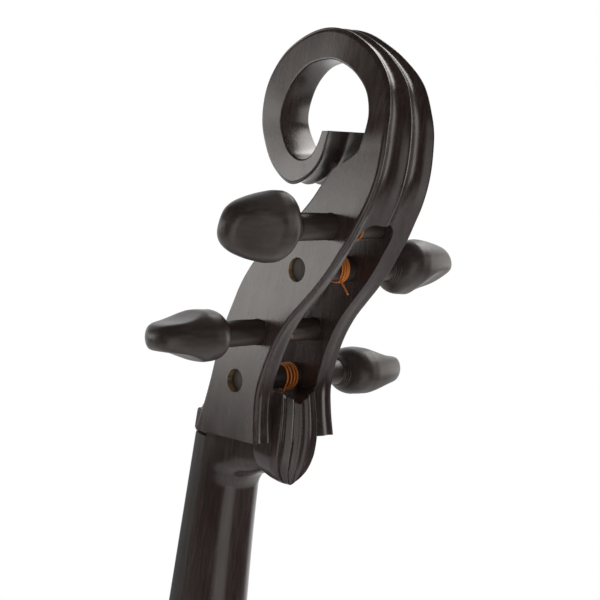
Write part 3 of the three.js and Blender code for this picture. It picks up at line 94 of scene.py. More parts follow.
RECESS_ARM = 5.2
CLEARANCE = 0.3
OVERRUN = 4.0
FIXED = "cello_frame"


# Numbers and lines


def mix(start: float, end: float, share: float) -> float:
    """Returns the value at a share of the way from start to end."""
    return start + (end - start) * share


def linear(red: int, green: int, blue: int) -> Triple:
    """Turns a screen colour into the linear values that a shader takes.

    Args:
        red: Red from 0 to 255.
        green: Green from 0 to 255.
        blue: Blue from 0 to 255.

    Returns:
        The three linear values.
    """
    def one(value: int) -> float:
        """Returns one channel made linear."""
        share = value / 255
        return share / 12.92 if share <= 0.04045 else ((share + 0.055) / 1.055) ** 2.4
    return one(red), one(green), one(blue)


def angles(count: int) -> List[float]:
    """Returns even angles round a full turn."""
    return [2 * math.pi * k / count for k in range(count)]


def monotone(rows: Sequence[Row], column: int) -> Callable[[float], float]:
    """Makes a smooth curve through the rows that never overshoots.

    Args:
        rows: Rows whose first number is the place, in rising or falling order.
        column: The column that holds the value.

    Returns:
        A function from place to value.
    """
    pairs = sorted((row[0], row[column]) for row in rows)
    xs = [pair[0] for pair in pairs]
    ys = [pair[1] for pair in pairs]
    slopes = [(ys[k + 1] - ys[k]) / (xs[k + 1] - xs[k]) for k in range(len(xs) - 1)]
    tangents = [slopes[0]]
    for before, after in zip(slopes, slopes[1:]):
        tangents.append(0.0 if before * after <= 0 else 2 * before * after / (before + after))
    tangents.append(slopes[-1])

    def value(x: float) -> float:
        """Returns the value of the curve at x."""
        x = min(max(x, xs[0]), xs[-1])
        k = max(i for i in range(len(xs) - 1) if xs[i] <= x)
        width = xs[k + 1] - xs[k]
        t = (x - xs[k]) / width
        return ((2 * t ** 3 - 3 * t ** 2 + 1) * ys[k] + (t ** 3 - 2 * t ** 2 + t) * width * tangents[k]
                + (3 * t ** 2 - 2 * t ** 3) * ys[k + 1] + (t ** 3 - t ** 2) * width * tangents[k + 1])
    return value


def centripetal(points: Sequence[Vector], t: float) -> Vector:
    """Returns a point of the centripetal curve through the points.

    Args:
        points: The points that the curve passes.
        t: Place on the curve from 0 to 1.

    Returns:
        The point there.
    """
    place = (len(points) - 1) * t
    k = min(int(place), len(points) - 2)
    share = place - k
    p1, p2 = points[k], points[k + 1]
    p0 = points[k - 1] if k > 0 else p1 * 2 - p2
    p3 = points[k + 2] if k + 2 < len(points) else p2 * 2 - p1
    t1 = max((p1 - p0).length, 1e-6) ** 0.5
    t2 = t1 + max((p2 - p1).length, 1e-6) ** 0.5
    t3 = t2 + max((p3 - p2).length, 1e-6) ** 0.5
    s = mix(t1, t2, share)
    a1 = p0 * ((t1 - s) / t1) + p1 * (s / t1)
    a2 = p1 * ((t2 - s) / (t2 - t1)) + p2 * ((s - t1) / (t2 - t1))
    a3 = p2 * ((t3 - s) / (t3 - t2)) + p3 * ((s - t2) / (t3 - t2))
    b1 = a1 * ((t2 - s) / t2) + a2 * (s / t2)
    b2 = a2 * ((t3 - s) / (t3 - t1)) + a3 * ((s - t1) / (t3 - t1))
    return b1 * ((t2 - s) / (t2 - t1)) + b2 * ((s - t1) / (t2 - t1))


def smooth_line(points: Sequence[Vector], steps: int, closed: bool = False,
                corner: float = 32) -> List[Vector]:
    """Draws a smooth line through the points and keeps their sharp corners.

    Args:
        points: The points to pass.
        steps: New points in each span.
        closed: Whether the line ends where it starts.
        corner: Turn in degrees from which a point stays sharp.

    Returns:
        The points of the finer line, without the last one again where it is closed.
    """
    line = list(points)
    count = len(line)

    def turn(k: int) -> float:
        """Returns the turn at a point in degrees."""
        if not closed and k in (0, count - 1):
            return 180.0
        before = line[k] - line[k - 1]
        after = line[(k + 1) % count] - line[k]
        return math.degrees(before.angle(after)) if before.length and after.length else 0.0

    sharp = [k for k in range(count) if turn(k) > corner] or [0]
    if closed:
        line = line[sharp[0]:] + line[:sharp[0]] + [line[sharp[0]]]
        sharp = [k - sharp[0] for k in sharp] + [count]
    result: List[Vector] = []
    for start, end in zip(sharp, sharp[1:]):
        run = line[start:end + 1]
        spans = len(run) - 1
        pieces = spans * steps if spans > 1 else 1
        result += [centripetal(run, k / pieces) for k in range(pieces)]
    return result if closed else result + [line[-1]]


# Meshes


@dataclass
class Form:
    """A closed mesh in the making, with its corners in millimetres."""

    corners: List[Vector] = field(default_factory=list)
    faces: List[Tuple[int, ...]] = field(default_factory=list)

    def moved(self, x: float = 0, y: float = 0, z: float = 0) -> "Form":
        """Moves the form and returns it."""
        self.corners = [corner + Vector((x, y, z)) for corner in self.corners]
        return self

    def shaped(self, bend: Callable[[Vector], Vector]) -> "Form":
        """Sends each corner through a function and returns the form."""
        self.corners = [bend(corner) for corner in self.corners]
        return self


def loft(rings: Sequence[Sequence[Vector]], wrap: bool = False) -> Form:
    """Makes a closed skin over rings of the same count.

    Args:
        rings: The rings, each a list of corners.
        wrap: Whether the last ring joins the first one, as in a sleeve.

    Returns:
        The form, capped at both ends unless it wraps.
    """
    count = len(rings[0])
    form = Form([corner for ring in rings for corner in ring])
    rows = len(rings) if wrap else len(rings) - 1
    for row in range(rows):
        low, high = row * count, (row + 1) % len(rings) * count
        form.faces += [(low + k, low + (k + 1) % count, high + (k + 1) % count, high + k)
                       for k in range(count)]
    if not wrap:
        form.faces.append(tuple(range(count - 1, -1, -1)))
        form.faces.append(tuple((len(rings) - 1) * count + k for k in range(count)))
    return form


AXES: Dict[str, Callable[[float, float, float], Vector]] = {
    "x": lambda along, a, b: Vector((along, a, b)),
    "y": lambda along, a, b: Vector((a, along, b)),
    "z": lambda along, a, b: Vector((a, b, along)),
}


def turned(axis: str, profile: Sequence[Pair], sides: int = 64, wrap: bool = False) -> Form:
    """Turns a profile round an axis.

    Args:
        axis: The letter of the axis.
        profile: Pairs of place along the axis and radius.
        sides: Facets round the axis.
        wrap: Whether the profile closes on itself round a bore.

    Returns:
        The turned form.
    """
    put = AXES[axis]
    around = angles(sides)
    rings = [[put(place, radius * math.cos(a), radius * math.sin(a)) for a in around]
             for place, radius in profile]
    return loft(rings, wrap)


def block(x0: float, x1: float, y0: float, y1: float, z0: float, z1: float) -> Form:
    """Makes a box between two corners."""
    ring = [(x0, y0), (x1, y0), (x1, y1), (x0, y1)]
    return loft([[Vector((x, y, z)) for x, y in ring] for z in (z0, z1)])


def slab(outline: Sequence[Vector], front: float, back: float) -> Form:
    """Makes a plate from an outline in X and Z between two depths in Y."""
    return loft([[Vector((point.x, y, point.z)) for point in outline] for y in (front, back)])


def add_object(name: str, data: bpy.types.ID) -> Piece:
    """Adds an object with the given data to the scene."""
    piece = bpy.data.objects.new(name, data)
    bpy.context.scene.collection.objects.link(piece)
    return piece


def to_object(name: str, form: Form, finishes: Sequence["Finish"], sharp: float = 32) -> Piece:
    """Makes an object with its faces outward and its smooth places shaded smooth.

    Args:
        name: Name of the object.
        form: The form in millimetres.
        finishes: The finishes of its material slots.
        sharp: Angle in degrees from which an edge stays sharp.

    Returns:
        The object, at the origin, in metres.
    """
    mesh = bpy.data.meshes.new(name)
    mesh.from_pydata([corner * MM for corner in form.corners], [], form.faces)
    piece = add_object(name, mesh)
    for finish in finishes:
        mesh.materials.append(finish.material())
    settle(piece, sharp)
    return piece


def settle(piece: Piece, sharp: float) -> None:
    """Merges doubles, turns the faces outward and sets the smooth shading.

    Args:
        piece: The object whose mesh is settled.
        sharp: Angle in degrees from which an edge stays sharp.
    """
    work = bmesh.new()
    work.from_mesh(piece.data)
    bmesh.ops.remove_doubles(work, verts=work.verts, dist=1e-7)
    bmesh.ops.recalc_face_normals(work, faces=work.faces)
    for face in work.faces:
        face.smooth = True
    work.to_mesh(piece.data)
    work.free()
    piece.data.set_sharp_from_angle(angle=math.radians(sharp))


def bake(piece: Piece) -> Piece:
    """Turns what the modifiers show into the plain mesh of the piece and removes them."""
    bpy.context.view_layer.update()
    shown = piece.evaluated_get(bpy.context.evaluated_depsgraph_get())
    mesh = bpy.data.meshes.new_from_object(shown)
    piece.modifiers.clear()
    old = piece.data
    piece.data = mesh
    bpy.data.meshes.remove(old)
    return piece


def combine(piece: Piece, form: Form, operation: str = "DIFFERENCE") -> None:
    """Cuts a form from a piece, or adds it, as one body.

    Args:
        piece: The piece that changes.
        form: The other form in millimetres.
        operation: DIFFERENCE or UNION.
    """
    other = to_object("helper", form, [])
    modifier = piece.modifiers.new("combine", "BOOLEAN")
    modifier.operation = operation
    modifier.solver = "EXACT"
    modifier.use_self = False
    modifier.object = other
    bake(piece)
    helper = other.data
    bpy.data.objects.remove(other)
    bpy.data.meshes.remove(helper)


def carve(piece: Piece, cutters: Sequence[Form]) -> None:
    """Cuts the forms from a piece one after another and settles it."""
    for cutter in cutters:
        combine(piece, cutter)
    settle(piece, 34)


def rounded(piece: Piece, width: float, segments: int = 3, angle: float = 40) -> None:
    """Rounds the sharp edges of a piece.

    Args:
        piece: The piece to round.
        width: Width of the round in millimetres.
        segments: Facets across it.
        angle: Angle in degrees from which an edge is rounded.
    """
    modifier = piece.modifiers.new("round", "BEVEL")
    modifier.width = width * MM
    modifier.segments = segments
    modifier.limit_method = "ANGLE"
    modifier.angle_limit = math.radians(angle)
    modifier.use_clamp_overlap = True
    bake(piece)


# Shader groups and finishes


class Pattern(Enum):
    """The way in which a finish varies over its surface."""

    GRAIN = "grain"
    BRUSHED = "brushed"
    MOULDED = "moulded"
    THREAD = "thread"


class Maker:
    """Adds nodes to a tree and wires them, with a node's inputs given by name or number."""

    def __init__(self, tree: Tree) -> None:
        """Takes the tree that the nodes go into."""
        self.tree = tree

    def node(self, kind: str, settings: Optional[dict] = None, **inputs: object) -> bpy.types.Node:
        """Adds a node.

        Args:
            kind: The node's type.
            settings: Its properties.
            **inputs: Values or sockets for its inputs; underscores stand for spaces, i0 for the first input.

        Returns:
            The node.
        """
        node = self.tree.nodes.new(kind)
        for key, value in (settings or {}).items():
            setattr(node, key, value)
        for key, value in inputs.items():
            number = key[1:] if key[0] == "i" and key[1:].isdigit() else None
            socket = node.inputs[int(number)] if number else node.inputs[key.replace("_", " ")]
            if isinstance(value, Socket):
                self.tree.links.new(value, socket)
            else:
                socket.default_value = value
        return node

    def math(self, operation: str, first: object, second: object = 0.0, third: object = 0.0) -> Socket:
        """Adds a Math node and returns its output."""
        node = self.node("ShaderNodeMath", {"operation": operation}, i0=first, i1=second, i2=third)
        return node.outputs[0]

    def remap(self, value: Socket, low: float, high: float, out_low: float = 0.0,
              out_high: float = 1.0) -> Socket:
        """Adds a smooth Map Range node and returns its output."""
        node = self.node("ShaderNodeMapRange", {"interpolation_type": "SMOOTHSTEP"}, Value=value,
                         From_Min=low, From_Max=high, To_Min=out_low, To_Max=out_high)
        return node.outputs[0]


    def end_body(self, shape: bpy.types.Node, given: Sockets, shown: Sockets) -> None:
        """Makes the instances of a shape real, gives them the finish and sends them out as the body."""
        real = self.node("GeometryNodeRealizeInstances", Geometry=shape.outputs[0])
        dressed = self.node("GeometryNodeSetMaterial", Geometry=real.outputs[0], Material=given["Finish"])
        self.tree.links.new(dressed.outputs[0], shown["Body"])


def fresh_nodes(owner: bpy.types.ID) -> Maker:
    """Empties the node tree of a material or world and returns its maker."""
    owner.use_nodes = True
    owner.node_tree.nodes.clear()
    return Maker(owner.node_tree)


def new_group(name: str, kind: str, inputs: Sequence[Tuple[str, str, object]],
              outputs: Sequence[Tuple[str, str]]) -> Tuple[Tree, Maker, Sockets, Sockets]:
    """Starts a node group with named sockets.

    Args:
        name: Name of the group.
        kind: ShaderNodeTree or GeometryNodeTree.
        inputs: Name, socket type and default of each input.
        outputs: Name and socket type of each output.

    Returns:
        The tree, its maker, the sockets that hold its inputs and those that take its outputs.
    """
    tree = bpy.data.node_groups.new(name, kind)
    for label, socket, default in inputs:
        made = tree.interface.new_socket(label, in_out="INPUT", socket_type=socket)
        if default is not None:
            made.default_value = default
    for label, socket in outputs:
        tree.interface.new_socket(label, in_out="OUTPUT", socket_type=socket)
    maker = Maker(tree)
    return tree, maker, maker.node("NodeGroupInput").outputs, maker.node("NodeGroupOutput").inputs


def grain_group() -> Tree:
    """Makes the group that draws long fibres and short pores of wood, or brush marks of metal."""
    tree, maker, given, shown = new_group(
        "long_grain", "ShaderNodeTree",
        [("Vector", "NodeSocketVector", None), ("Scale", "NodeSocketFloat", 300.0),
         ("Stretch", "NodeSocketVector", (1.0, 1.0, 0.05))],
        [("Mask", "NodeSocketFloat"), ("Pores", "NodeSocketFloat")])
    mapped = maker.node("ShaderNodeMapping", Vector=given["Vector"], Scale=given["Stretch"])
    fibres = maker.node("ShaderNodeTexNoise", Vector=mapped.outputs[0], Scale=given["Scale"], Detail=5.0,
                        Roughness=0.62, Distortion=0.25)
    fine_scale = maker.math("MULTIPLY", given["Scale"], 4.3)
    fine = maker.node("ShaderNodeTexNoise", Vector=mapped.outputs[0], Scale=fine_scale, Detail=2.0,
                      Roughness=0.5)
    broad_scale = maker.math("MULTIPLY", given["Scale"], 0.16)
    broad = maker.node("ShaderNodeTexNoise", Vector=mapped.outputs[0], Scale=broad_scale, Detail=2.0,
                       Roughness=0.5)
    streaks = maker.math("ADD", maker.math("MULTIPLY", fibres.outputs["Fac"], 0.65),
                         maker.math("MULTIPLY", broad.outputs["Fac"], 0.35))
    maker.tree.links.new(maker.remap(streaks, 0.34, 0.66), shown["Mask"])
    maker.tree.links.new(maker.remap(fine.outputs["Fac"], 0.36, 0.5), shown["Pores"])
    return tree


def handling_group() -> Tree:
    """Makes the group that gives the soft smudges of handling and the small specks of dust."""
    tree, maker, given, shown = new_group(
        "handling_and_dust", "ShaderNodeTree",
        [("Vector", "NodeSocketVector", None), ("Smudge Scale", "NodeSocketFloat", 26.0),
         ("Speck Scale", "NodeSocketFloat", 420.0)],
        [("Smudges", "NodeSocketFloat"), ("Specks", "NodeSocketFloat")])
    smudge = maker.node("ShaderNodeTexNoise", Vector=given["Vector"], Scale=given["Smudge Scale"],
                        Detail=3.0, Roughness=0.55, Distortion=0.6)
    speck = maker.node("ShaderNodeTexVoronoi", Vector=given["Vector"], Scale=given["Speck Scale"],
                       Randomness=1.0)
    maker.tree.links.new(maker.remap(smudge.outputs["Fac"], 0.35, 0.7), shown["Smudges"])
    maker.tree.links.new(maker.remap(speck.outputs["Distance"], 0.10, 0.04), shown["Specks"])
    return tree


def wear_and_highlight_group() -> Tree:
    """Makes the group that finds the sharp edges that are painted paler: a little wear and a painted edge
    highlight.
    """
    tree, maker, given, shown = new_group(
        "edge_wear_and_highlight", "ShaderNodeTree",
        [("Vector", "NodeSocketVector", None), ("Scale", "NodeSocketFloat", 160.0)],
        [("Mask", "NodeSocketFloat")])
    sharpness = maker.node("ShaderNodeNewGeometry").outputs["Pointiness"]
    breaks = maker.node("ShaderNodeTexNoise", Vector=given["Vector"], Scale=given["Scale"],
                        Detail=3.0, Roughness=0.6)
    edge = maker.remap(sharpness, 0.52, 0.6)
    maker.tree.links.new(maker.math("MULTIPLY", edge, maker.remap(breaks.outputs["Fac"], 0.4, 0.62)),
                         shown["Mask"])
    return tree


GROUPS: Dict[str, Callable[[], Tree]] = {
    "long_grain": grain_group, "handling_and_dust": handling_group, "edge_wear_and_highlight": wear_and_highlight_group}


def group_node(maker: Maker, name: str, **inputs: object) -> bpy.types.Node:
    """Places a shared shader group in a material and makes the group on its first use."""
    tree = bpy.data.node_groups.get(name) or GROUPS[name]()
    return maker.node("ShaderNodeGroup", {"node_tree": tree}, **inputs)


@dataclass(frozen=True)
class Finish:
    """A finish of one material: its two screen colours, its gloss and the way in which they vary."""

    name: str
    slot: str
    dark: Screen
    light: Screen
    roughness: float
    spread: float = 0.08
    metallic: float = 0.0
    pattern: Pattern = Pattern.MOULDED
    scale: float = 300.0
    stretch: Triple = (1.0, 1.0, 1.0)
    relief: float = 0.15
    depth: float = 0.0001
    # Share of paler colour painted on sharp edges: a little wear and a painted edge highlight.
    wear_and_highlight: float = 0.0
    turns: float = 0.0

    def material(self) -> bpy.types.Material:
        """Returns the material of this finish and makes it on its first use."""
        found = bpy.data.materials.get(self.name)
        return found or self._make()

    def _make(self) -> bpy.types.Material:
        """Builds the material.

        Returns:
            The new material.
        """
        material = bpy.data.materials.new(self.name)
        maker = fresh_nodes(material)
        place = maker.node("ShaderNodeTexCoord").outputs["Object"]
        # The mask is grain, brush marks or moulded skin, except on threads, where it paints shade in the
        # grooves of the lay and a highlight on its crowns.
        grain_and_lay_shade_mask, height = self._lay_with_painted_shade(maker) if self.pattern is Pattern.THREAD else self._fibres(maker, place)
        handling = group_node(maker, "handling_and_dust", Vector=place)
        colour = maker.node("ShaderNodeMix", {"data_type": "RGBA"}, i0=grain_and_lay_shade_mask)
        colour.inputs[6].default_value = (*linear(*self.dark), 1)
        colour.inputs[7].default_value = (*linear(*self.light), 1)
        shade = colour.outputs[2]
        # Sharp edges are painted paler than the finish: partly wear, partly a painted edge highlight.
        if self.wear_and_highlight:
            worn_and_lit_edges = group_node(maker, "edge_wear_and_highlight", Vector=place)
            amount = maker.math("MULTIPLY", worn_and_lit_edges.outputs["Mask"], self.wear_and_highlight)
            top = maker.node("ShaderNodeMix", {"data_type": "RGBA"}, i0=amount, i6=shade)
            pale_wear_and_highlight = [min(1.0, value * 2.2 + 0.01) for value in linear(*self.light)]
            top.inputs[7].default_value = (*pale_wear_and_highlight, 1)
            shade = top.outputs[2]
        dusty = maker.node("ShaderNodeMix", {"data_type": "RGBA"}, i6=shade,
                           i0=maker.math("MULTIPLY", handling.outputs["Specks"], 0.06))
        dusty.inputs[7].default_value = (0.3, 0.29, 0.27, 1)
        change = maker.math("SUBTRACT", maker.math("ADD", handling.outputs["Smudges"], grain_and_lay_shade_mask), 1.0)
        rough = maker.math("ADD", maker.math("MULTIPLY", change, self.spread / 2), self.roughness)
        bump = maker.node("ShaderNodeBump", Strength=self.relief, Distance=self.depth, Height=height)
        shader = maker.node("ShaderNodeBsdfPrincipled", Base_Color=dusty.outputs[2], Roughness=rough,
                            Metallic=self.metallic, Normal=bump.outputs[0])
        maker.node("ShaderNodeOutputMaterial", Surface=shader.outputs[0])
        return material

    def _fibres(self, maker: Maker, place: Socket) -> Tuple[object, object]:
        """Draws grain, brush marks or a moulded skin.

        Args:
            maker: The maker of the material's tree.
            place: The Object coordinates.

        Returns:
            The mask between the two colours, and the height.
        """
        grain = group_node(maker, "long_grain", Vector=place, Scale=self.scale, Stretch=self.stretch)
        weights = {Pattern.GRAIN: 0.55, Pattern.BRUSHED: 0.1, Pattern.MOULDED: 0.35}
        share = weights[self.pattern]
        height = maker.math("ADD", maker.math("MULTIPLY", grain.outputs["Pores"], share),
                            maker.math("MULTIPLY", grain.outputs["Mask"], 1 - share))
        return grain.outputs["Mask"], height

    def _lay_with_painted_shade(self, maker: Maker) -> Tuple[object, object]:
        """Draws the lay of a twisted thread or a wire winding from the lengths stored along the piece, with
        painted shade in the grooves between strands and a painted highlight on their crowns.

        Args:
            maker: The maker of the material's tree.

        Returns:
            The mask between the painted shade colour and the painted highlight colour, and the height.
        """
        along = maker.node("ShaderNodeAttribute", {"attribute_name": "along"}).outputs["Fac"]
        around = maker.node("ShaderNodeAttribute", {"attribute_name": "around"}).outputs["Fac"]
        phase = maker.math("ADD", maker.math("MULTIPLY", along, self.scale * 2 * math.pi),
                           maker.math("MULTIPLY", around, self.turns * 2 * math.pi))
        wave = maker.math("MULTIPLY_ADD", maker.math("SINE", phase), 0.5, 0.5)
        return maker.remap(wave, 0.05, 0.8), wave


# Its sharp edges get a little wear and a painted edge highlight.
LACQUER = Finish("black_lacquered_wood", "black_wood", (33, 24, 22), (49, 39, 36), 0.25, 0.08,
                 pattern=Pattern.GRAIN, scale=520, stretch=(1.0, 1.0, 0.09), relief=0.12, depth=0.00012,
                 wear_and_highlight=0.05)
BORED_WOOD = Finish("bored_wood", "black_wood", (58, 46, 30), (132, 108, 66), 0.62,
                    pattern=Pattern.GRAIN, scale=700, stretch=(0.1, 1.0, 1.0), relief=0.4)
EBONY = Finish("oiled_ebony", "ebony", (19, 15, 12), (36, 29, 23), 0.38, 0.10, pattern=Pattern.GRAIN,
               scale=640, stretch=(1.0, 1.0, 0.05), relief=0.2)
# Its sharp edges get a little wear and a painted edge highlight.
PEG_WOOD = Finish("matt_peg_wood", "peg_wood", (36, 28, 25), (50, 41, 37), 0.42, 0.10,
                  pattern=Pattern.GRAIN, scale=520, stretch=(0.08, 1.0, 1.0), relief=0.12, wear_and_highlight=0.06)
PEG_END = Finish("peg_end_grain", "peg_wood", (34, 29, 25), (58, 50, 42), 0.6, 0.1,
                 pattern=Pattern.GRAIN, scale=900, stretch=(1.0, 1.0, 0.12), relief=0.4)
# Its dark colour is painted shade between the twisted strands, and its light colour a painted highlight on
# their crowns.
SILK = Finish("orange_silk", "silk", (92, 22, 4), (236, 136, 46), 0.5, 0.1, pattern=Pattern.THREAD,
              scale=900, turns=2, relief=0.9, depth=0.0002)
# Its dark colour is painted shade in the grooves between the wire turns, and its light colour a painted
# highlight on their crowns.
WOUND_STEEL = Finish("flat_wound_steel", "string_steel", (92, 93, 95), (176, 177, 179), 0.32, 0.08,
                     metallic=1.0, pattern=Pattern.THREAD, scale=1400, turns=1, relief=0.5, depth=0.0001)
MAPLE = Finish("bridge_maple", "maple", (158, 112, 66), (205, 164, 112), 0.5, 0.1,
               pattern=Pattern.GRAIN, scale=900, stretch=(0.14, 1.0, 1.0), relief=0.2)
BRIGHT = Finish("bright_steel", "bright_metal", (168, 170, 172), (206, 207, 208), 0.24, 0.08,
                metallic=1.0, pattern=Pattern.BRUSHED, scale=900, stretch=(1.0, 1.0, 0.03), relief=0.08)
BRASS = Finish("pickup_brass", "piezo_brass", (150, 118, 58), (202, 168, 96), 0.3, 0.1, metallic=1.0,
               pattern=Pattern.BRUSHED, scale=700, stretch=(1.0, 0.05, 1.0), relief=0.08)
DARK_METAL = Finish("black_anodised_metal", "black_metal", (30, 31, 33), (52, 53, 55), 0.38, 0.08,
                    metallic=0.8, pattern=Pattern.BRUSHED, scale=900, stretch=(1.0, 1.0, 0.05), relief=0.08)
RUBBER = Finish("moulded_rubber", "rubber", (26, 26, 26), (44, 44, 43), 0.82, 0.1, scale=1200,
                relief=0.35)
PLASTIC = Finish("moulded_black_plastic", "black_plastic", (24, 24, 25), (36, 36, 37), 0.46, 0.1,
                 scale=2400, relief=0.22)
CIRCUIT = Finish("green_circuit", "circuit", (20, 66, 42), (46, 108, 70), 0.42, 0.1, scale=600,
                 relief=0.3)
CELL = Finish("battery_jacket", "battery_case", (70, 72, 76), (112, 114, 118), 0.35, 0.08, metallic=0.6,
              pattern=Pattern.BRUSHED, scale=500, stretch=(1.0, 1.0, 0.05), relief=0.05)
POINTER = Finish("pointer_paint", "black_plastic", (214, 212, 206), (232, 230, 226), 0.5, 0.05,
                 scale=900, relief=0.1)


# Geometry node trees


def thread_tree() -> Tree:
    """Makes the tree that sweeps a round section along a path and stores lengths for the lay of a thread."""
    found = bpy.data.node_groups.get("round_thread_along_path")
    if found:
        return found
    tree, maker, given, shown = new_group(
        "round_thread_along_path", "GeometryNodeTree",
        [("Path", "NodeSocketGeometry", None), ("Radius", "NodeSocketFloat", 0.001),
         ("Sides", "NodeSocketInt", 16), ("Finish", "NodeSocketMaterial", None)],
        [("Body", "NodeSocketGeometry")])
    course = maker.node("GeometryNodeMeshToCurve", Mesh=given["Path"])
    length = maker.node("GeometryNodeSplineParameter")
    marked = maker.node("GeometryNodeStoreNamedAttribute", {"data_type": "FLOAT", "domain": "POINT"},
                        Geometry=course.outputs[0], Name="along", Value=length.outputs["Length"])
    circle = maker.node("GeometryNodeCurvePrimitiveCircle", Resolution=given["Sides"],
                        Radius=given["Radius"])
    turn = maker.node("GeometryNodeSplineParameter")
    section = maker.node("GeometryNodeStoreNamedAttribute", {"data_type": "FLOAT", "domain": "POINT"},
                         Geometry=circle.outputs[0], Name="around", Value=turn.outputs["Factor"])
    swept = maker.node("GeometryNodeCurveToMesh", Curve=marked.outputs[0], Profile_Curve=section.outputs[0],
                       Fill_Caps=True)
    smooth = maker.node("GeometryNodeSetShadeSmooth", Geometry=swept.outputs[0])
    maker.end_body(smooth, given, shown)
    return tree


def ribs_tree() -> Tree:
    """Makes the tree that sets straight ribs side by side round an upright axis, as on a knurled knob."""
    found = bpy.data.node_groups.get("ribs_round_axis")
    if found:
        return found
    tree, maker, given, shown = new_group(
        "ribs_round_axis", "GeometryNodeTree",
        [("Base", "NodeSocketGeometry", None), ("Count", "NodeSocketInt", 24),
         ("Ring Radius", "NodeSocketFloat", 0.01), ("Rib Radius", "NodeSocketFloat", 0.0005),
         ("Length", "NodeSocketFloat", 0.01), ("Finish", "NodeSocketMaterial", None)],
        [("Body", "NodeSocketGeometry")])
    ring = maker.node("GeometryNodeMeshCircle", Vertices=given["Count"], Radius=given["Ring Radius"])
    rib = maker.node("GeometryNodeMeshCylinder", Vertices=8, Radius=given["Rib Radius"],
                     Depth=given["Length"])
    spread = maker.node("GeometryNodeInstanceOnPoints", Points=ring.outputs[0], Instance=rib.outputs[0])
    maker.end_body(spread, given, shown)
    return tree


def run_tree(name: str, host: bpy.types.Mesh, tree: Tree, **values: object) -> Piece:
    """Runs a tree on a host mesh and keeps the result as a plain mesh.

    Args:
        name: Name of the new object.
        host: The mesh that the tree starts from.
        tree: The Geometry Nodes tree.
        **values: The inputs by name, with underscores for spaces.

    Returns:
        The object.
    """
    piece = add_object(name, host)
    modifier = piece.modifiers.new("nodes", "NODES")
    modifier.node_group = tree
    places = {item.name: item.identifier for item in tree.interface.items_tree if item.in_out == "INPUT"}
    for label, value in values.items():
        modifier[places[label.replace("_", " ")]] = value
    return bake(piece)


def thread(name: str, points: Sequence[Vector], radius: float, finish: Finish, sides: int = 16) -> Piece:
    """Makes a round thread, wire or cord along points.

    Args:
        name: Name of the object.
        points: The course in millimetres.
        radius: Radius in millimetres.
        finish: Its finish.
        sides: Facets round it.

    Returns:
        The object, a plain mesh.
    """
    host = bpy.data.meshes.new(name)
    host.from_pydata([point * MM for point in points], [(k, k + 1) for k in range(len(points) - 1)], [])
    return run_tree(name, host, thread_tree(), Radius=radius * MM, Sides=sides, Finish=finish.material())


def ribs(name: str, axis: str, centre: Vector, count: int, ring: float, rib: float, length: float,
         finish: Finish) -> Piece:
    """Makes the ribs of a knurled grip.

    Args:
        name: Name of the object.
        axis: Letter of the axis that the ribs stand round.
        centre: Middle of the grip in millimetres.
        count: Number of ribs.
        ring: Radius of the ring of ribs.
        rib: Radius of one rib.
        length: Length of the ribs.
        finish: Their finish.

    Returns:
        The object, a plain mesh.
    """
    piece = run_tree(name, bpy.data.meshes.new(name), ribs_tree(), Count=count, Ring_Radius=ring * MM,
                     Rib_Radius=rib * MM, Length=length * MM, Finish=finish.material())
    aim = {"x": Matrix.Rotation(math.pi / 2, 4, "Y"), "y": Matrix.Rotation(math.pi / 2, 4, "X"),
           "z": Matrix()}[axis]
    piece.data.transform(Matrix.Translation(centre * MM) @ aim)
    settle(piece, 40)
    return piece


# Shared makers


def publish(piece: Piece, body: str, node: str, finish: Finish) -> None:
    """Lets a piece ride on a body in place of a node.

    Args:
        piece: The finished piece.
        body: The body that it moves with.
        node: The node that it stands for.
        finish: Not used.
    """
    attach(piece, body)
    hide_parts(node)
    log.info("%s stands for %s, %d faces", piece.name, node, len(piece.data.polygons))


def make(name: str, form: Form, body: str, node: str, finish: Finish, sharp: float = 32) -> Piece:
    """Makes an object of one finish that stands for a node.

    Args:
        name: Name of the object.
        form: The form in millimetres.
        body: The body that it moves with.
        node: The node that it stands for.
        finish: Its finish.
        sharp: Angle in degrees from which an edge stays sharp.

    Returns:
        The object.
    """
    piece = to_object(name, form, [finish], sharp)
    publish(piece, body, node, finish)
    return piece


def dress(node: str, finish: Finish) -> None:
    """Gives a node that keeps its own mesh a better finish."""
    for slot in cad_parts[node].material_slots:
        slot.material = finish.material()
    log.info("%s keeps its mesh in %s", node, finish.name)


def on_neck(point: Vector) -> Vector:
    """Moves a point from the frame of the neck to that of the instrument."""
    return point + Vector((0, -NECK_FORWARD, HEAD_BASE))


def crown_fall(x: float, radius: float) -> float:
    """Returns how far a round crown has fallen at x from its middle."""
    return radius - math.sqrt(radius * radius - x * x)


def crowned_ring(height: float, half: float, under: float, edge: float, top: float, round_off: float = 0.7,
                 steps: int = 20) -> List[Vector]:
    """Draws a cross-section with a flat underside, softened edges and a crowned top.

    Args:
        height: Place along Z.
        half: Half width.
        under: Y of the underside.
        edge: Rise of the crown at its edges, towards -Y.
        top: Rise of the crown in its middle.
        round_off: Radius of the softened edges.
        steps: Spans across the crown.

    Returns:
        The ring of corners.
    """
    ring = [(-half + round_off, under), (half - round_off, under), (half, under - round_off),
            (half, -edge + round_off), (half - 0.3 * round_off, -edge + 0.3 * round_off)]
    for k in range(steps + 1):
        x = mix(half - round_off, round_off - half, k / steps)
        ring.append((x, -mix(edge, top, 1 - (x / half) ** 2)))
    ring += [(0.3 * round_off - half, -edge + 0.3 * round_off), (-half, -edge + round_off),
             (-half, under - round_off)]
    return [Vector((x, y, height)) for x, y in ring]


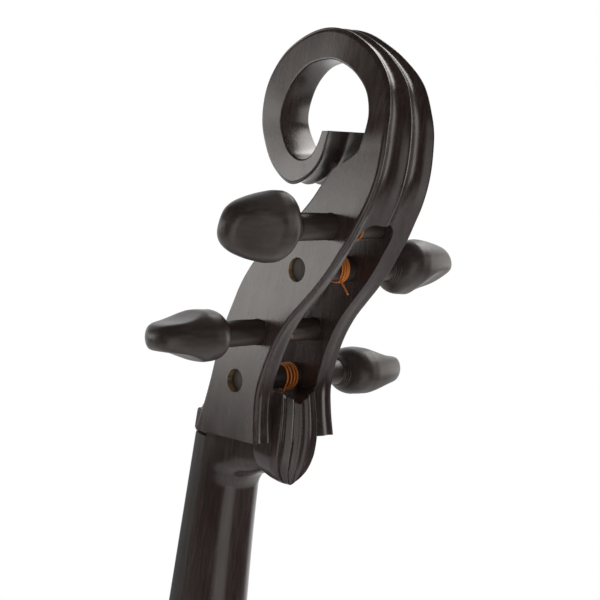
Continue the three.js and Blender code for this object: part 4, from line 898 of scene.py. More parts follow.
def back_screw(length: float, gap: float) -> Form:
    """Makes a screw from the back of the core, or its bore where it has a gap round it."""
    top = OVERRUN if gap else -CLEARANCE
    seat = -CLEARANCE - 3.5 - gap
    shank, head = 3 + gap, 5.5 + gap
    return turned("y", [(-CLEARANCE - length - gap, shank), (seat, shank), (seat, head), (top, head)], 40)


def screw_piece(name: str, form: Form, axis: str, face: Vector, size: float) -> Piece:
    """Makes a screw with a softened head and a cross recess.

    Args:
        name: Name of the object.
        form: The screw without its recess.
        axis: Letter of its axis.
        face: Middle of the face of its head.
        size: Length of the arms of the recess.

    Returns:
        The object.
    """
    piece = to_object(name, form, [BRIGHT], 30)
    rounded(piece, 0.35, 2, 50)
    put = AXES[axis]
    for wide, high in ((size, size * 0.22), (size * 0.22, size)):
        arm = block(-wide / 2, wide / 2, -high / 2, high / 2, -size * 0.35, size)
        turned_arm = arm.shaped(lambda corner: put(corner.z, corner.x, corner.y) + face)
        combine(piece, turned_arm)
    settle(piece, 30)
    return piece


# Head and neck

HEAD_OUTLINE: Rows = (
    (0.015, -0.015, 0.495, 0.017), (0.047, 0.059, 0.464, 0.073), (0.067, 0.130, 0.446, 0.134),
    (0.079, 0.195, 0.467, 0.200), (0.100, 0.261, 0.510, 0.266), (0.135, 0.320, 0.576, 0.325),
    (0.177, 0.379, 0.650, 0.372), (0.255, 0.443, 0.726, 0.418), (0.354, 0.492, 0.798, 0.469),
    (0.439, 0.531, 0.847, 0.512), (0.519, 0.576, 0.892, 0.551), (0.582, 0.615, 0.928, 0.591),
    (0.636, 0.657, 0.963, 0.632), (0.694, 0.697, 0.988, 0.677), (0.772, 0.718, 0.999, 0.716),
    (0.830, 0.743, 1.000, 0.753), (0.854, 0.785, 0.994, 0.795), (0.844, 0.827, 0.973, 0.844, 0.550),
    (0.790, 0.871, 0.915, 0.906, 0.470), (0.686, 0.904, 0.802, 0.952, 0.380),
    (0.588, 0.921, 0.672, 0.982, 0.325), (0.489, 0.929, 0.530, 1.000, 0.298),
    (0.397, 0.923, 0.385, 0.998, 0.294), (0.297, 0.903, 0.233, 0.970, 0.300),
    (0.212, 0.860, 0.096, 0.918, 0.315), (0.168, 0.805, 0.012, 0.842, 0.334),
    (0.168, 0.769, 0.006, 0.763, 0.342), (0.204, 0.736, 0.050, 0.713, 0.357),
    (0.270, 0.704, 0.148, 0.658, 0.380), (0.363, 0.691, 0.307, 0.627, 0.408),
    (0.447, 0.704, 0.453, 0.656, 0.446), (0.497, 0.733, 0.536, 0.701, 0.474),
    (0.525, 0.768, 0.578, 0.772, 0.493))

SLOT_ROWS: Rows = (
    (-0.042, 0.010, 0.541, 0.114, 0.04), (-0.031, 0.054, 0.520, 0.155, 1), (0.031, 0.195, 0.509, 0.200, 1),
    (0.062, 0.276, 0.582, 0.271, 1), (0.135, 0.384, 0.707, 0.354, 1), (0.312, 0.497, 0.863, 0.443, 1),
    (0.478, 0.586, 0.956, 0.522, 1), (0.587, 0.662, 0.988, 0.566, 0.04))

CHIN_ROWS: Rows = (
    (30.0, 46.0, 11.8), (20.0, 48.6, 12.6), (10.0, 50.4, 13.8), (2.0, 51.2, 14.3), (-4.0, 51.0, 14.2),
    (-9.0, 50.6, 13.2), (-13.5, 50.0, 11.2), (-16.8, 49.4, 8.2), (-18.9, 49.0, 4.9), (-20.0, 48.6, 1.2))

CHIN_RIBS: Rows = (
    (0, 0.75), (0.03, 0.3), (0.10, 0.5), (0.20, 1.0), (0.31, 0.55), (0.38, 0.06), (0.42, 0.0), (0.50, 0.55),
    (0.61, 1.0), (0.73, 0.6), (0.82, 0.08), (0.86, 0.0), (0.93, 0.45), (1.0, 1.0))

FLUTE_ROWS: Rows = (
    (0, 0.04), (0.08, 0.32), (0.18, 0.66), (0.30, 0.90), (0.42, 1.0), (0.54, 0.98), (0.66, 0.85),
    (0.77, 0.62), (0.86, 0.36), (0.93, 0.14), (0.97, 0.04), (1.0, 0.0))

REED_ROWS: Rows = (
    (0, 0.0), (0.05, 0.55), (0.10, 0.85), (0.15, 0.6), (0.21, 0.12), (0.26, 0.1), (0.31, 0.5), (0.36, 0.95),
    (0.42, 1.4), (0.6, 1.6), (1.0, 1.6))

CHIN_ROOT_ROWS: Pairs = ((30, 30), (-4, 33), (-10, 34.5), (-15, 38), (-20, 45))

CHAMFER_ROWS: Pairs = (
    (0.0, 1.30), (0.04, 1.16), (0.24, 0.80), (0.52, 0.50), (0.80, 0.36), (0.84, 0.10), (0.94, 0.0),
    (1.12, -0.02), (1.32, 0.03))

GROOVE_SHARES: Tuple[float, ...] = (
    0.0, 0.04, 0.09, 0.15, 0.22, 0.3, 0.38, 0.46, 0.54, 0.62, 0.7, 0.77, 0.83, 0.88, 0.92, 0.955, 0.98, 1.0)

THROAT_ROWS: Pairs = (
    (3.0, 40.0), (-6.0, 40.0), (-12.0, 38.8), (-16.0, 35.5), (-19.4, 30.6), (-21.8, 25.4), (-25.0, 20.4),
    (-33.0, 16.6))

HEEL_ROWS: Pairs = ((1.1, 0.0), (0.65, 0.14), (0.35, 0.36), (0.14, 0.66), (0.0, 1.0))


@dataclass
class Head:
    """The neck, chin, pegbox and open ring scroll, carved from one piece."""

    depth: float = 96.2
    height: float = 203.2
    pegbox_width: float = 52.7
    taper: float = 0.1256
    slot_share: float = 0.58
    chamfer: float = 1.3
    flute_share: float = 0.09
    band_full: float = 14.0
    rib_depth: float = 1.7
    chin_edge: float = 3.4
    neck_front: float = 2.5
    neck_rise: float = 0.014
    width_at_nut: float = 31.0
    width_at_end: float = 62.0
    board_length: float = 590.0
    roundness: float = 2.2
    neck_depth: float = 22.0
    throat_end: float = -36.0
    heel_height: float = 34.0
    heel_rise: float = 30.0
    heel_start: float = 25.0
    heel_back: float = 73.0

    def width(self, z: float) -> float:
        """Returns the width of the pegbox at a height over the foot of the head."""
        return self.pegbox_width - self.taper * z

    def front_at(self, z: float) -> float:
        """Returns the depth of the front of the neck."""
        return -self.neck_front + self.neck_rise * min(z, 0.0)

    def half_width(self, z: float) -> float:
        """Returns the half width of the neck and fingerboard."""
        run = max(-z - HEAD_ABOVE_NUT, 0.0) / self.board_length
        return mix(self.width_at_nut, self.width_at_end, run) / 2

    def lines(self, rows: Sequence[Row]) -> Tuple[List[Vector], List[Vector]]:
        """Turns rows of shares into the front and the back line in depth and height."""
        return ([Vector((row[0] * self.depth, row[1] * self.height, 0)) for row in rows],
                [Vector((row[2] * self.depth, row[3] * self.height, 0)) for row in rows])

    def band(self) -> Form:
        """Makes the long carved band of the pegbox and the ring scroll."""
        fronts, backs = self.lines(HEAD_OUTLINE)

        def wide(row: Row, z: float) -> float:
            """Returns the width of the band in a row."""
            return row[4] * self.pegbox_width if len(row) > 4 else self.width(z * self.height)
        spans = len(HEAD_OUTLINE) - 1
        front_wide = monotone([(k, wide(row, row[1])) for k, row in enumerate(HEAD_OUTLINE)], 1)
        back_wide = monotone([(k, wide(row, row[3])) for k, row in enumerate(HEAD_OUTLINE)], 1)
        steps = spans * 8
        rings = []
        for k in range(steps + 1):
            t = k / steps
            rings.append(self.section(centripetal(fronts, t), centripetal(backs, t), front_wide(t * spans),
                                      back_wide(t * spans)))
        return loft(rings)

    def section(self, front: Vector, back: Vector, front_wide: float, back_wide: float) -> List[Vector]:
        """Draws one cross-section of the band.

        Args:
            front: Its front point in depth and height.
            back: Its back point.
            front_wide: Width there.
            back_wide: Width at the back.

        Returns:
            The ring of corners.
        """
        inward = front - back
        thin = min(1.0, inward.length / self.band_full)
        inward.normalize()
        rise = min(max(back.y / self.height - 0.25, 0.0) / 0.3, 1.0)
        flute = self.flute_share * back_wide * thin
        edge = self.chamfer * thin
        half = back_wide / 2

        def rear(x: float, inset: float) -> Vector:
            """Returns a corner at a distance in from the back."""
            place = back + inward * inset
            return Vector((x, place.x, place.y))

        def fore(x: float, inset: float) -> Vector:
            """Returns a corner at a distance in from the front."""
            place = front - inward * inset
            return Vector((x, place.x, place.y))
        soft, flat_margin = 0.5, 0.7
        right = [(half - across * edge, down * edge) for across, down in CHAMFER_ROWS]
        start = half - 1.45 * edge
        deep_at, reed_at = monotone(FLUTE_ROWS, 1), monotone(REED_ROWS, 1)
        right += [(start * (1 - share), mix(reed_at(share), flute * deep_at(share), rise))
                  for share in GROOVE_SHARES]
        span = max((front - back).length, 4.0)
        near, far = soft + flat_margin, 1.30 * edge + flat_margin
        side_x = mix(front_wide / 2, half, near / span)
        back_x = mix(half, front_wide / 2, far / span)
        fore_half, nick = front_wide / 2, 0.15
        ring = [fore(soft - fore_half, 0), fore(fore_half - soft, 0), fore(fore_half - nick, nick),
                fore(fore_half, soft), fore(side_x, near), rear(back_x, far)]
        ring += [rear(x, inset) for x, inset in right]
        ring += [rear(-x, inset) for x, inset in reversed(right[:-1])]
        ring += [rear(-back_x, far), fore(-side_x, near), fore(-fore_half, soft),
                 fore(nick - fore_half, nick)]
        return ring

    def slot(self) -> Form:
        """Makes the cutter of the string slot, with a rounded arch at its upper end."""
        fronts, backs = self.lines(SLOT_ROWS)
        spans = len(SLOT_ROWS) - 1
        rings = []
        for k in range(spans * 12 + 1):
            place = k / 12
            low = min(int(place), spans - 1)
            share = mix(SLOT_ROWS[low][4], SLOT_ROWS[low + 1][4], place - low)
            if low == spans - 1:
                share = max(math.sqrt(max(1 - (place - low) ** 2.4, 0.0)), 0.03)
            front, back = centripetal(fronts, place / spans), centripetal(backs, place / spans)
            near = share * self.slot_share * self.width(front.y) / 2
            far = share * self.slot_share * self.width(back.y) / 2
            rings.append([Vector((x, point.x, point.y)) for x, point in
                          ((-near, front), (near, front), (far, back), (-far, back))])
        return loft(rings)

    def chin(self) -> Form:
        """Makes the ribbed lobe below the pegbox."""
        rear_at, half_at = monotone(CHIN_ROWS, 1), monotone(CHIN_ROWS, 2)
        rib_at, root_at = monotone(CHIN_RIBS, 1), monotone(CHIN_ROOT_ROWS, 1)
        steps = 34
        across = [math.sin(math.pi / 2 * k / 26) for k in range(27)]
        rings = []
        for k in range(steps + 1):
            z = mix(CHIN_ROWS[0][0], CHIN_ROWS[-1][0], math.sin(math.pi / 2 * k / steps))
            half = half_at(z)
            rib = self.rib_depth * min(1.0, half / 11)

            def rear(share: float) -> float:
                """Returns the depth of the rear face at a share across."""
                round_off = self.chin_edge * (1 - math.sqrt(max(1 - share * share, 0.0)))
                return rear_at(z) - round_off - rib * rib_at(abs(share))
            root = root_at(z)
            ring = [Vector((-half, root, z)), Vector((half, root, z))]
            ring += [Vector((share * half, rear(share), z)) for share in reversed(across)]
            ring += [Vector((-share * half, rear(share), z)) for share in across[1:]]
            rings.append(ring)
        return loft(rings)

    def shaft(self) -> Form:
        """Makes the throat, neck and heel."""
        rows = list(THROAT_ROWS)
        rows.append((HEEL_FOOT / 2, self.neck_depth))
        rows += [(HEEL_FOOT + CLEARANCE + high * self.heel_rise, mix(self.heel_start, self.heel_back, deep))
                 for high, deep in HEEL_ROWS]
        rear_at = monotone(rows, 1)
        low = rows[-1][0]
        stops = (rows[0][0], self.throat_end, low + self.heel_height, low)
        heights = [mix(start, end, k / steps) for start, end, steps in zip(stops, stops[1:], (72, 30, 34))
                   for k in range(steps)]
        heights.append(low)
        rings = []
        for z in heights:
            front, half = self.front_at(z), self.half_width(z)
            ring = []
            for k in range(49):
                angle = math.pi * k / 48
                across = math.copysign(abs(math.cos(angle)) ** (2 / self.roundness), math.cos(angle))
                deep = mix(front, rear_at(z), math.sin(angle) ** (2 / self.roundness))
                ring.append(Vector((half * across, deep, z)))
            rings.append(ring)
        return loft(rings)

    def tenon(self) -> Form:
        """Makes the block below the heel that goes into the core."""
        rings = []
        for z in (HEEL_FOOT + OVERRUN, HEEL_FOOT - TENON_LENGTH):
            front = self.front_at(z)
            corners = ((-1, front), (1, front), (1, TENON_BACK), (-1, TENON_BACK))
            rings.append([Vector((side * TENON_HALF, y, z)) for side, y in corners])
        return loft(rings)

    def build(self, pegs: Sequence["Peg"]) -> None:
        """Carves the head with its slot and peg holes and dresses it.

        Args:
            pegs: The pegs whose holes are bored.
        """
        piece = to_object("carved_head_and_neck", self.band().shaped(on_neck), [LACQUER, BORED_WOOD], 30)
        for form in (self.shaft(), self.chin(), self.tenon()):
            combine(piece, form.shaped(on_neck), "UNION")
        combine(piece, self.slot().shaped(on_neck))
        for peg in pegs:
            combine(piece, peg.hole(self).shaped(on_neck))
        settle(piece, 30)
        for face in piece.data.polygons:
            place = face.center / MM - Vector((0, -NECK_FORWARD, HEAD_BASE))
            for peg in pegs:
                away = math.hypot(place.y - peg.back, place.z - peg.up)
                if abs(face.normal.x) < 0.5 and away < peg.radius(self, place.x) + 0.5:
                    face.material_index = 1
        publish(piece, FIXED, "neck_and_head", LACQUER)


PEG_ROWS: Rows = (
    (3.5, 8.8, 8.7, 1.0), (4.3, 11.2, 9.9, 1.0), (7.5, 15.2, 11.8, 0.998), (11.2, 16.6, 12.4, 0.985),
    (15.0, 16.6, 12.1, 0.93), (19.1, 16.0, 10.4, 0.80), (24.1, 15.0, 8.5, 0.69), (29.1, 13.6, 7.3, 0.64),
    (34.1, 11.7, 6.7, 0.65), (37.9, 9.3, 6.1, 0.74), (40.1, 6.3, 4.6, 0.87), (41.2, 3.2, 2.5, 0.96),
    (41.6, 0.3, 0.2, 1.0))

COLLAR_ROWS: Pairs = (
    (0.0, 6.7), (0.15, 7.15), (0.45, 7.35), (0.8, 7.3), (1.0, 6.9), (1.15, 6.8), (1.3, 7.1), (1.5, 7.6),
    (1.9, 7.75), (2.15, 7.6), (2.3, 7.2), (2.45, 7.5), (2.65, 8.1), (3.0, 8.3), (3.15, 8.0), (3.3, 8.15),
    (3.5, 8.6))


@dataclass
class Peg:
    """A tapered wooden peg with its silk winding and its string."""

    name: str
    place: float
    gauge: float
    back: float
    up: float
    side: int
    turn: float
    loops: int
    wind: float
    standoff: float
    recess: float
    turns: float
    lay: float
    loose: Pair
    pitch: float = 1.8
    strand: float = 0.47
    thin_end: float = 5.5
    thick_end: float = 6.5

    def radius(self, head: Head, x: float) -> float:
        """Returns the radius of the tapered shank at x."""
        half = head.width(self.up) / 2
        return mix(self.thin_end, self.thick_end, (self.side * x + half) / (2 * half + self.standoff))

    def point(self, x: float, reach: float, angle: float) -> Vector:
        """Returns a point at a distance from the axis of the peg."""
        return Vector((x, self.back + reach * math.cos(angle), self.up + reach * math.sin(angle)))

    def hole(self, head: Head) -> Form:
        """Makes the cutter of the tapered hole."""
        half = head.width(self.up) / 2 + OVERRUN
        return loft([[self.point(x, self.radius(head, x) + CLEARANCE, a) for a in angles(48)]
                     for x in (-half, half)])

    def build(self, head: Head) -> None:
        """Turns the peg, with its rings and scooped thumb piece.

        Args:
            head: The head that holds it.
        """
        half = head.width(self.up) / 2
        collar = half + self.standoff
        turn = math.radians(self.turn)

        def ring(x: float, wide: float, thick: float, cut: float = 1.0, crisp: float = 12.0) -> List[Vector]:
            """Returns one cross-section, whose broad faces are scooped out to a share of its thickness."""
            corners = []
            thick /= cut
            reach = max(math.sqrt(max(1 - cut * cut, 0.0)), 0.02)
            for angle in angles(72):
                y, z = math.cos(angle), math.sin(angle)
                dish = 0.05 * (1 - cut) * max(1 - (z / reach) ** 2, 0.0)
                if cut < 0.995:
                    limit = (cut - dish) * 1.03
                    y = math.copysign((max(abs(y), 1e-4) ** -crisp + limit ** -crisp) ** (-1 / crisp), y)
                y, z = thick * y, wide * z
                corners.append(Vector((self.side * x, self.back + y * math.cos(turn) - z * math.sin(turn),
                                       self.up + y * math.sin(turn) + z * math.cos(turn))))
            return corners
        rings = []
        end = -half + self.recess
        for x, drop in ((end, 0.5), (end + 0.15, 0.15), (end + 0.5, 0.0), (0.0, 0.0), (half, 0.0),
                        (collar, 0.0)):
            size = self.radius(head, self.side * x) - drop
            rings.append(ring(x, size, size))
        rings += [ring(collar + CLEARANCE + x, size, size) for x, size in COLLAR_ROWS[:-1]]
        wide_at, thick_at, cut_at = (monotone(PEG_ROWS, column) for column in (1, 2, 3))
        for k in range(60):
            x = mix(PEG_ROWS[0][0], PEG_ROWS[-1][0], math.sin(math.pi / 2 * k / 59) ** 0.9)
            crisp = mix(16.0, 5.0, min(max((x - 20) / 18, 0.0), 1.0))
            rings.append(ring(collar + CLEARANCE + x, wide_at(x), thick_at(x), cut_at(x), crisp))
        piece = to_object(f"turned_peg_{self.name}", loft(rings).shaped(on_neck), [PEG_WOOD, PEG_END], 32)
        for face in piece.data.polygons:
            if self.side * face.center.x / MM < end + 0.1:
                face.material_index = 1
        publish(piece, f"peg_{self.name}_turning", f"peg_{self.name}", PEG_WOOD)

    def last_turn(self, head: Head) -> float:
        """Returns the place across the slot of the last turn of the winding."""
        return self.wind * head.width(self.up) + self.side * self.loops * self.pitch / 2

    def course(self, head: Head) -> List[Vector]:
        """Returns the course of the silk round the peg, from its loose end to where it leaves.

        Args:
            head: The head that holds the peg.

        Returns:
            The points, in the frame of the neck.
        """
        leave = self.leaving(head)
        total = round(self.turns * 36)
        points = []
        for k in range(total + 1):
            back = (total - k) / 36
            wobble = 0.22 * math.sin(4.1 * back) * min(1.0, back)
            x = self.last_turn(head) - self.side * (self.lay * back + wobble)
            angle = leave - 2 * math.pi * back
            reach = self.radius(head, x) + self.strand + 0.08
            points.append(self.point(x, reach, angle))
        first = points[0]
        outward = Vector((0, first.y - self.back, first.z - self.up)).normalized()
        tail = []
        for k in range(12, 0, -1):
            share = k / 12
            drift = Vector((-self.side * self.lay * share, self.loose[0] * share, self.loose[1] * share))
            tail.append(first + outward * (1.3 * math.sin(math.pi * share)) + drift)
        return tail + points

    def leaving(self, head: Head) -> float:
        """Returns the angle round the peg at which the string leaves for the nut."""
        nut = Strings.nut_back(self, head)
        y, z = nut.y - self.back, nut.z - self.up
        reach = self.radius(head, 0) + CLEARANCE + SILK_RADIUS
        return math.atan2(z, y) - math.acos(reach / math.hypot(y, z))

    def wind_silk(self, head: Head) -> None:
        """Winds the silk end of the string on the peg.

        Args:
            head: The head that holds the peg.
        """
        course = [on_neck(point) for point in self.course(head)]
        piece = thread(f"silk_winding_{self.name}", course, self.strand, SILK, 14)
        publish(piece, f"peg_{self.name}_turning", f"winding_{self.name}", SILK)


@dataclass
class Strings:
    """The four strings from the pegs over the nut and the bridge to the tuners."""

    bridge_spacing: float = 48.0
    silk_past_nut: float = 26.0

    @staticmethod
    def board_top(z: float, head: Head) -> float:
        """Returns the rise of the middle of the fingerboard."""
        run = (-z - HEAD_ABOVE_NUT) / head.board_length
        return mix(*BOARD_EDGES, run) + crown_fall(head.half_width(z), CROWN_RADIUS)

    @staticmethod
    def above(x: float, radius: float) -> float:
        """Returns the height over a crown at which a string runs clear of it."""
        slant = math.sqrt(CROWN_RADIUS * CROWN_RADIUS - x * x)
        return (radius + 0.4) * CROWN_RADIUS / slant - crown_fall(x, CROWN_RADIUS)

    @staticmethod
    def nut_point(peg: Peg, head: Head) -> Vector:
        """Returns where a string crosses the crest of the nut, in the frame of the neck."""
        x = peg.place * NUT_SPACING
        crown = Strings.board_top(-HEAD_ABOVE_NUT, head) + NUT_RISE
        up = NUT_FOOT + 0.12 * NUT_THICKNESS
        return Vector((x, -crown - Strings.above(x, max(peg.gauge, SILK_RADIUS)), up))

    @staticmethod
    def nut_back(peg: Peg, head: Head) -> Vector:
        """Returns where a string leaves the back edge of the nut."""
        up = 0.88 * NUT_THICKNESS + max(peg.gauge, SILK_RADIUS)
        return Strings.nut_point(peg, head) + Vector((0, 2.4, up))

    def build(self, pegs: Sequence[Peg], head: Head, tail: "Tailpiece") -> None:
        """Strings the instrument.

        Args:
            pegs: The pegs that the strings start from.
            head: The head.
            tail: The tailpiece whose tuners hold their ends.
        """
        profile = [(-4.2, 0.7), (-4.0, 1.2), (-3.6, 1.6), (-3.0, 1.8), (-1.0, 1.8), (-0.4, 1.6), (-0.1, 1.2),
                   (0, 0.6)]
        for peg in pegs:
            node = f"string_{peg.name}"
            leave, reach = peg.leaving(head), peg.radius(head, 0) + CLEARANCE + SILK_RADIUS
            beside = peg.last_turn(head) + peg.side * (2 * SILK_RADIUS + CLEARANCE)
            begin = peg.point(beside, reach, leave)
            start, back = on_neck(begin), on_neck(self.nut_back(peg, head))
            nut = on_neck(self.nut_point(peg, head))
            x = peg.place * self.bridge_spacing
            bridge = Vector((x, -BRIDGE_TOP - self.above(x, peg.gauge), BRIDGE_PLACE))
            down = (bridge - nut).normalized()
            hook = tail.hook(peg)
            after = (hook - bridge).normalized()
            over = Vector((0, 0, 2.6))
            silk_end = nut + down * self.silk_past_nut
            course = [start, back, nut, nut + down * NUT_THICKNESS, silk_end]
            wrapped = thread(f"silk_string_{peg.name}", course, max(peg.gauge, SILK_RADIUS), SILK, 14)
            publish(wrapped, FIXED, node, SILK)
            ball = hook - after * 4
            wire = [silk_end - down, bridge + over, bridge - over, ball - after * 2, ball]
            steel = thread(f"steel_string_{peg.name}", self.even(wire, 12), peg.gauge, WOUND_STEEL, 12)
            publish(steel, FIXED, node, WOUND_STEEL)
            turn = Vector((0, 0, 1)).rotation_difference(after).to_matrix()
            end = turned("z", profile, 24).shaped(lambda corner: hook + turn @ corner)
            make(f"string_ball_{peg.name}", end, FIXED, node, BRASS, 40)

    @staticmethod
    def even(points: Sequence[Vector], longest: float) -> List[Vector]:
        """Adds points to a line so that no span is longer than given."""
        line = [points[0]]
        for before, after in zip(points, points[1:]):
            count = max(1, int((after - before).length / longest))
            line += [before.lerp(after, k / count) for k in range(1, count + 1)]
        return line


NUT_FALL_ROWS: Pairs = (
    (0, 0.25), (0.04, 0.08), (0.12, 0.0), (0.3, 0.12), (0.6, 0.45), (0.92, 0.86), (1, 1))


@dataclass
class Board:
    """The nut and the fingerboard."""

    nut_half: float = 15.5
    nut_edge: float = 13.2
    nut_fall: float = 2.0
    edge_fall: float = 0.3

    def build(self, head: Head) -> None:
        """Makes the nut and the fingerboard.

        Args:
            head: The head and neck that carry them.
        """
        crown = Strings.board_top(-HEAD_ABOVE_NUT, head) + NUT_RISE
        fall_at = monotone(NUT_FALL_ROWS, 1)
        rings = []
        for k in range(17):
            share = k / 16
            fall = fall_at(share) * self.nut_fall
            end = 0.35 if k in (0, 16) else 0.0
            under = head.front_at(NUT_FOOT) - CLEARANCE - end
            rings.append(crowned_ring(NUT_FOOT + share * NUT_THICKNESS, self.nut_half - end, under,
                                      self.nut_edge - fall * self.edge_fall - end, crown - fall - end, 0.6))
        make("carved_nut", loft(rings).shaped(on_neck), FIXED, "nut", EBONY, 34)
        rings = []
        even = [(k / 12, 0.0) for k in range(1, 12)]
        for run, end in [(0, 0.8), (0.0015, 0.0), *even, (0.9985, 0.0), (1, 0.8)]:
            z = -HEAD_ABOVE_NUT - run * head.board_length
            edge, top = mix(*BOARD_EDGES, run) - end, Strings.board_top(z, head) - end
            under = head.front_at(z) - CLEARANCE - end
            rings.append(crowned_ring(z, head.half_width(z) - end, under, edge, top, 0.9, 28))
        make("shaped_fingerboard", loft(rings).shaped(on_neck), FIXED, "fingerboard", EBONY, 34)


# Body

CORE_ROWS: Pairs = (
    (0.0, 0.62), (0.008, 0.76), (0.024, 0.87), (0.066, 0.90), (0.20, 0.94), (0.42, 0.84), (0.52, 0.84),
    (0.65, 1.0), (0.90, 1.0), (0.935, 0.97), (0.976, 0.90), (0.992, 0.78), (1.0, 0.58))
WING_OUTER: Pairs = (
    (0.030, 0.20), (0.022, 0.36), (0.042, 0.55), (0.085, 0.70), (0.150, 0.775), (0.215, 0.755), (0.268, 0.69))
WING_UPPER_CORNER: Pairs = ((0.305, 0.705), (0.330, 0.745))
WING_WAIST: Pairs = ((0.362, 0.615), (0.410, 0.545), (0.460, 0.530), (0.515, 0.575), (0.560, 0.685))
WING_LOWER_CORNER: Pairs = ((0.582, 0.825), (0.612, 0.825))
WING_LOWER: Pairs = (
    (0.680, 0.935), (0.770, 1.000), (0.860, 0.945), (0.930, 0.745), (0.968, 0.480), (0.972, 0.22))


def uniform_line(rows: Sequence[Vector], steps: int) -> List[Vector]:
    """Draws an even cubic line through points, with a number of spans over the whole line."""
    points = []
    for k in range(steps + 1):
        place = (len(rows) - 1) * k / steps
        low = min(int(place), len(rows) - 2)
        t = place - low
        p0, p1 = rows[max(low - 1, 0)], rows[low]
        p2, p3 = rows[low + 1], rows[min(low + 2, len(rows) - 1)]
        points.append(0.5 * ((2 * p1) + (p2 - p0) * t + (2 * p0 - 5 * p1 + 4 * p2 - p3) * t * t
                             + (3 * p1 - p0 - 3 * p2 + p3) * t ** 3))
    return points


def bolt(kind: str, place: str, length: float, x: float, z: float) -> None:
    """Makes one of the screws from the back of the core.

    Args:
        kind: What it holds, wing or neck.
        place: The rest of its name.
        length: Its length.
        x: Its place across the core.
        z: Its height.
    """
    form = back_screw(length, 0.0).moved(x, 0, z)
    screw = screw_piece(f"{kind}_bolt_{place}", form, "y", Vector((x, -CLEARANCE, z)), RECESS_ARM)
    publish(screw, FIXED, f"{kind}_screw_{place}", BRIGHT)


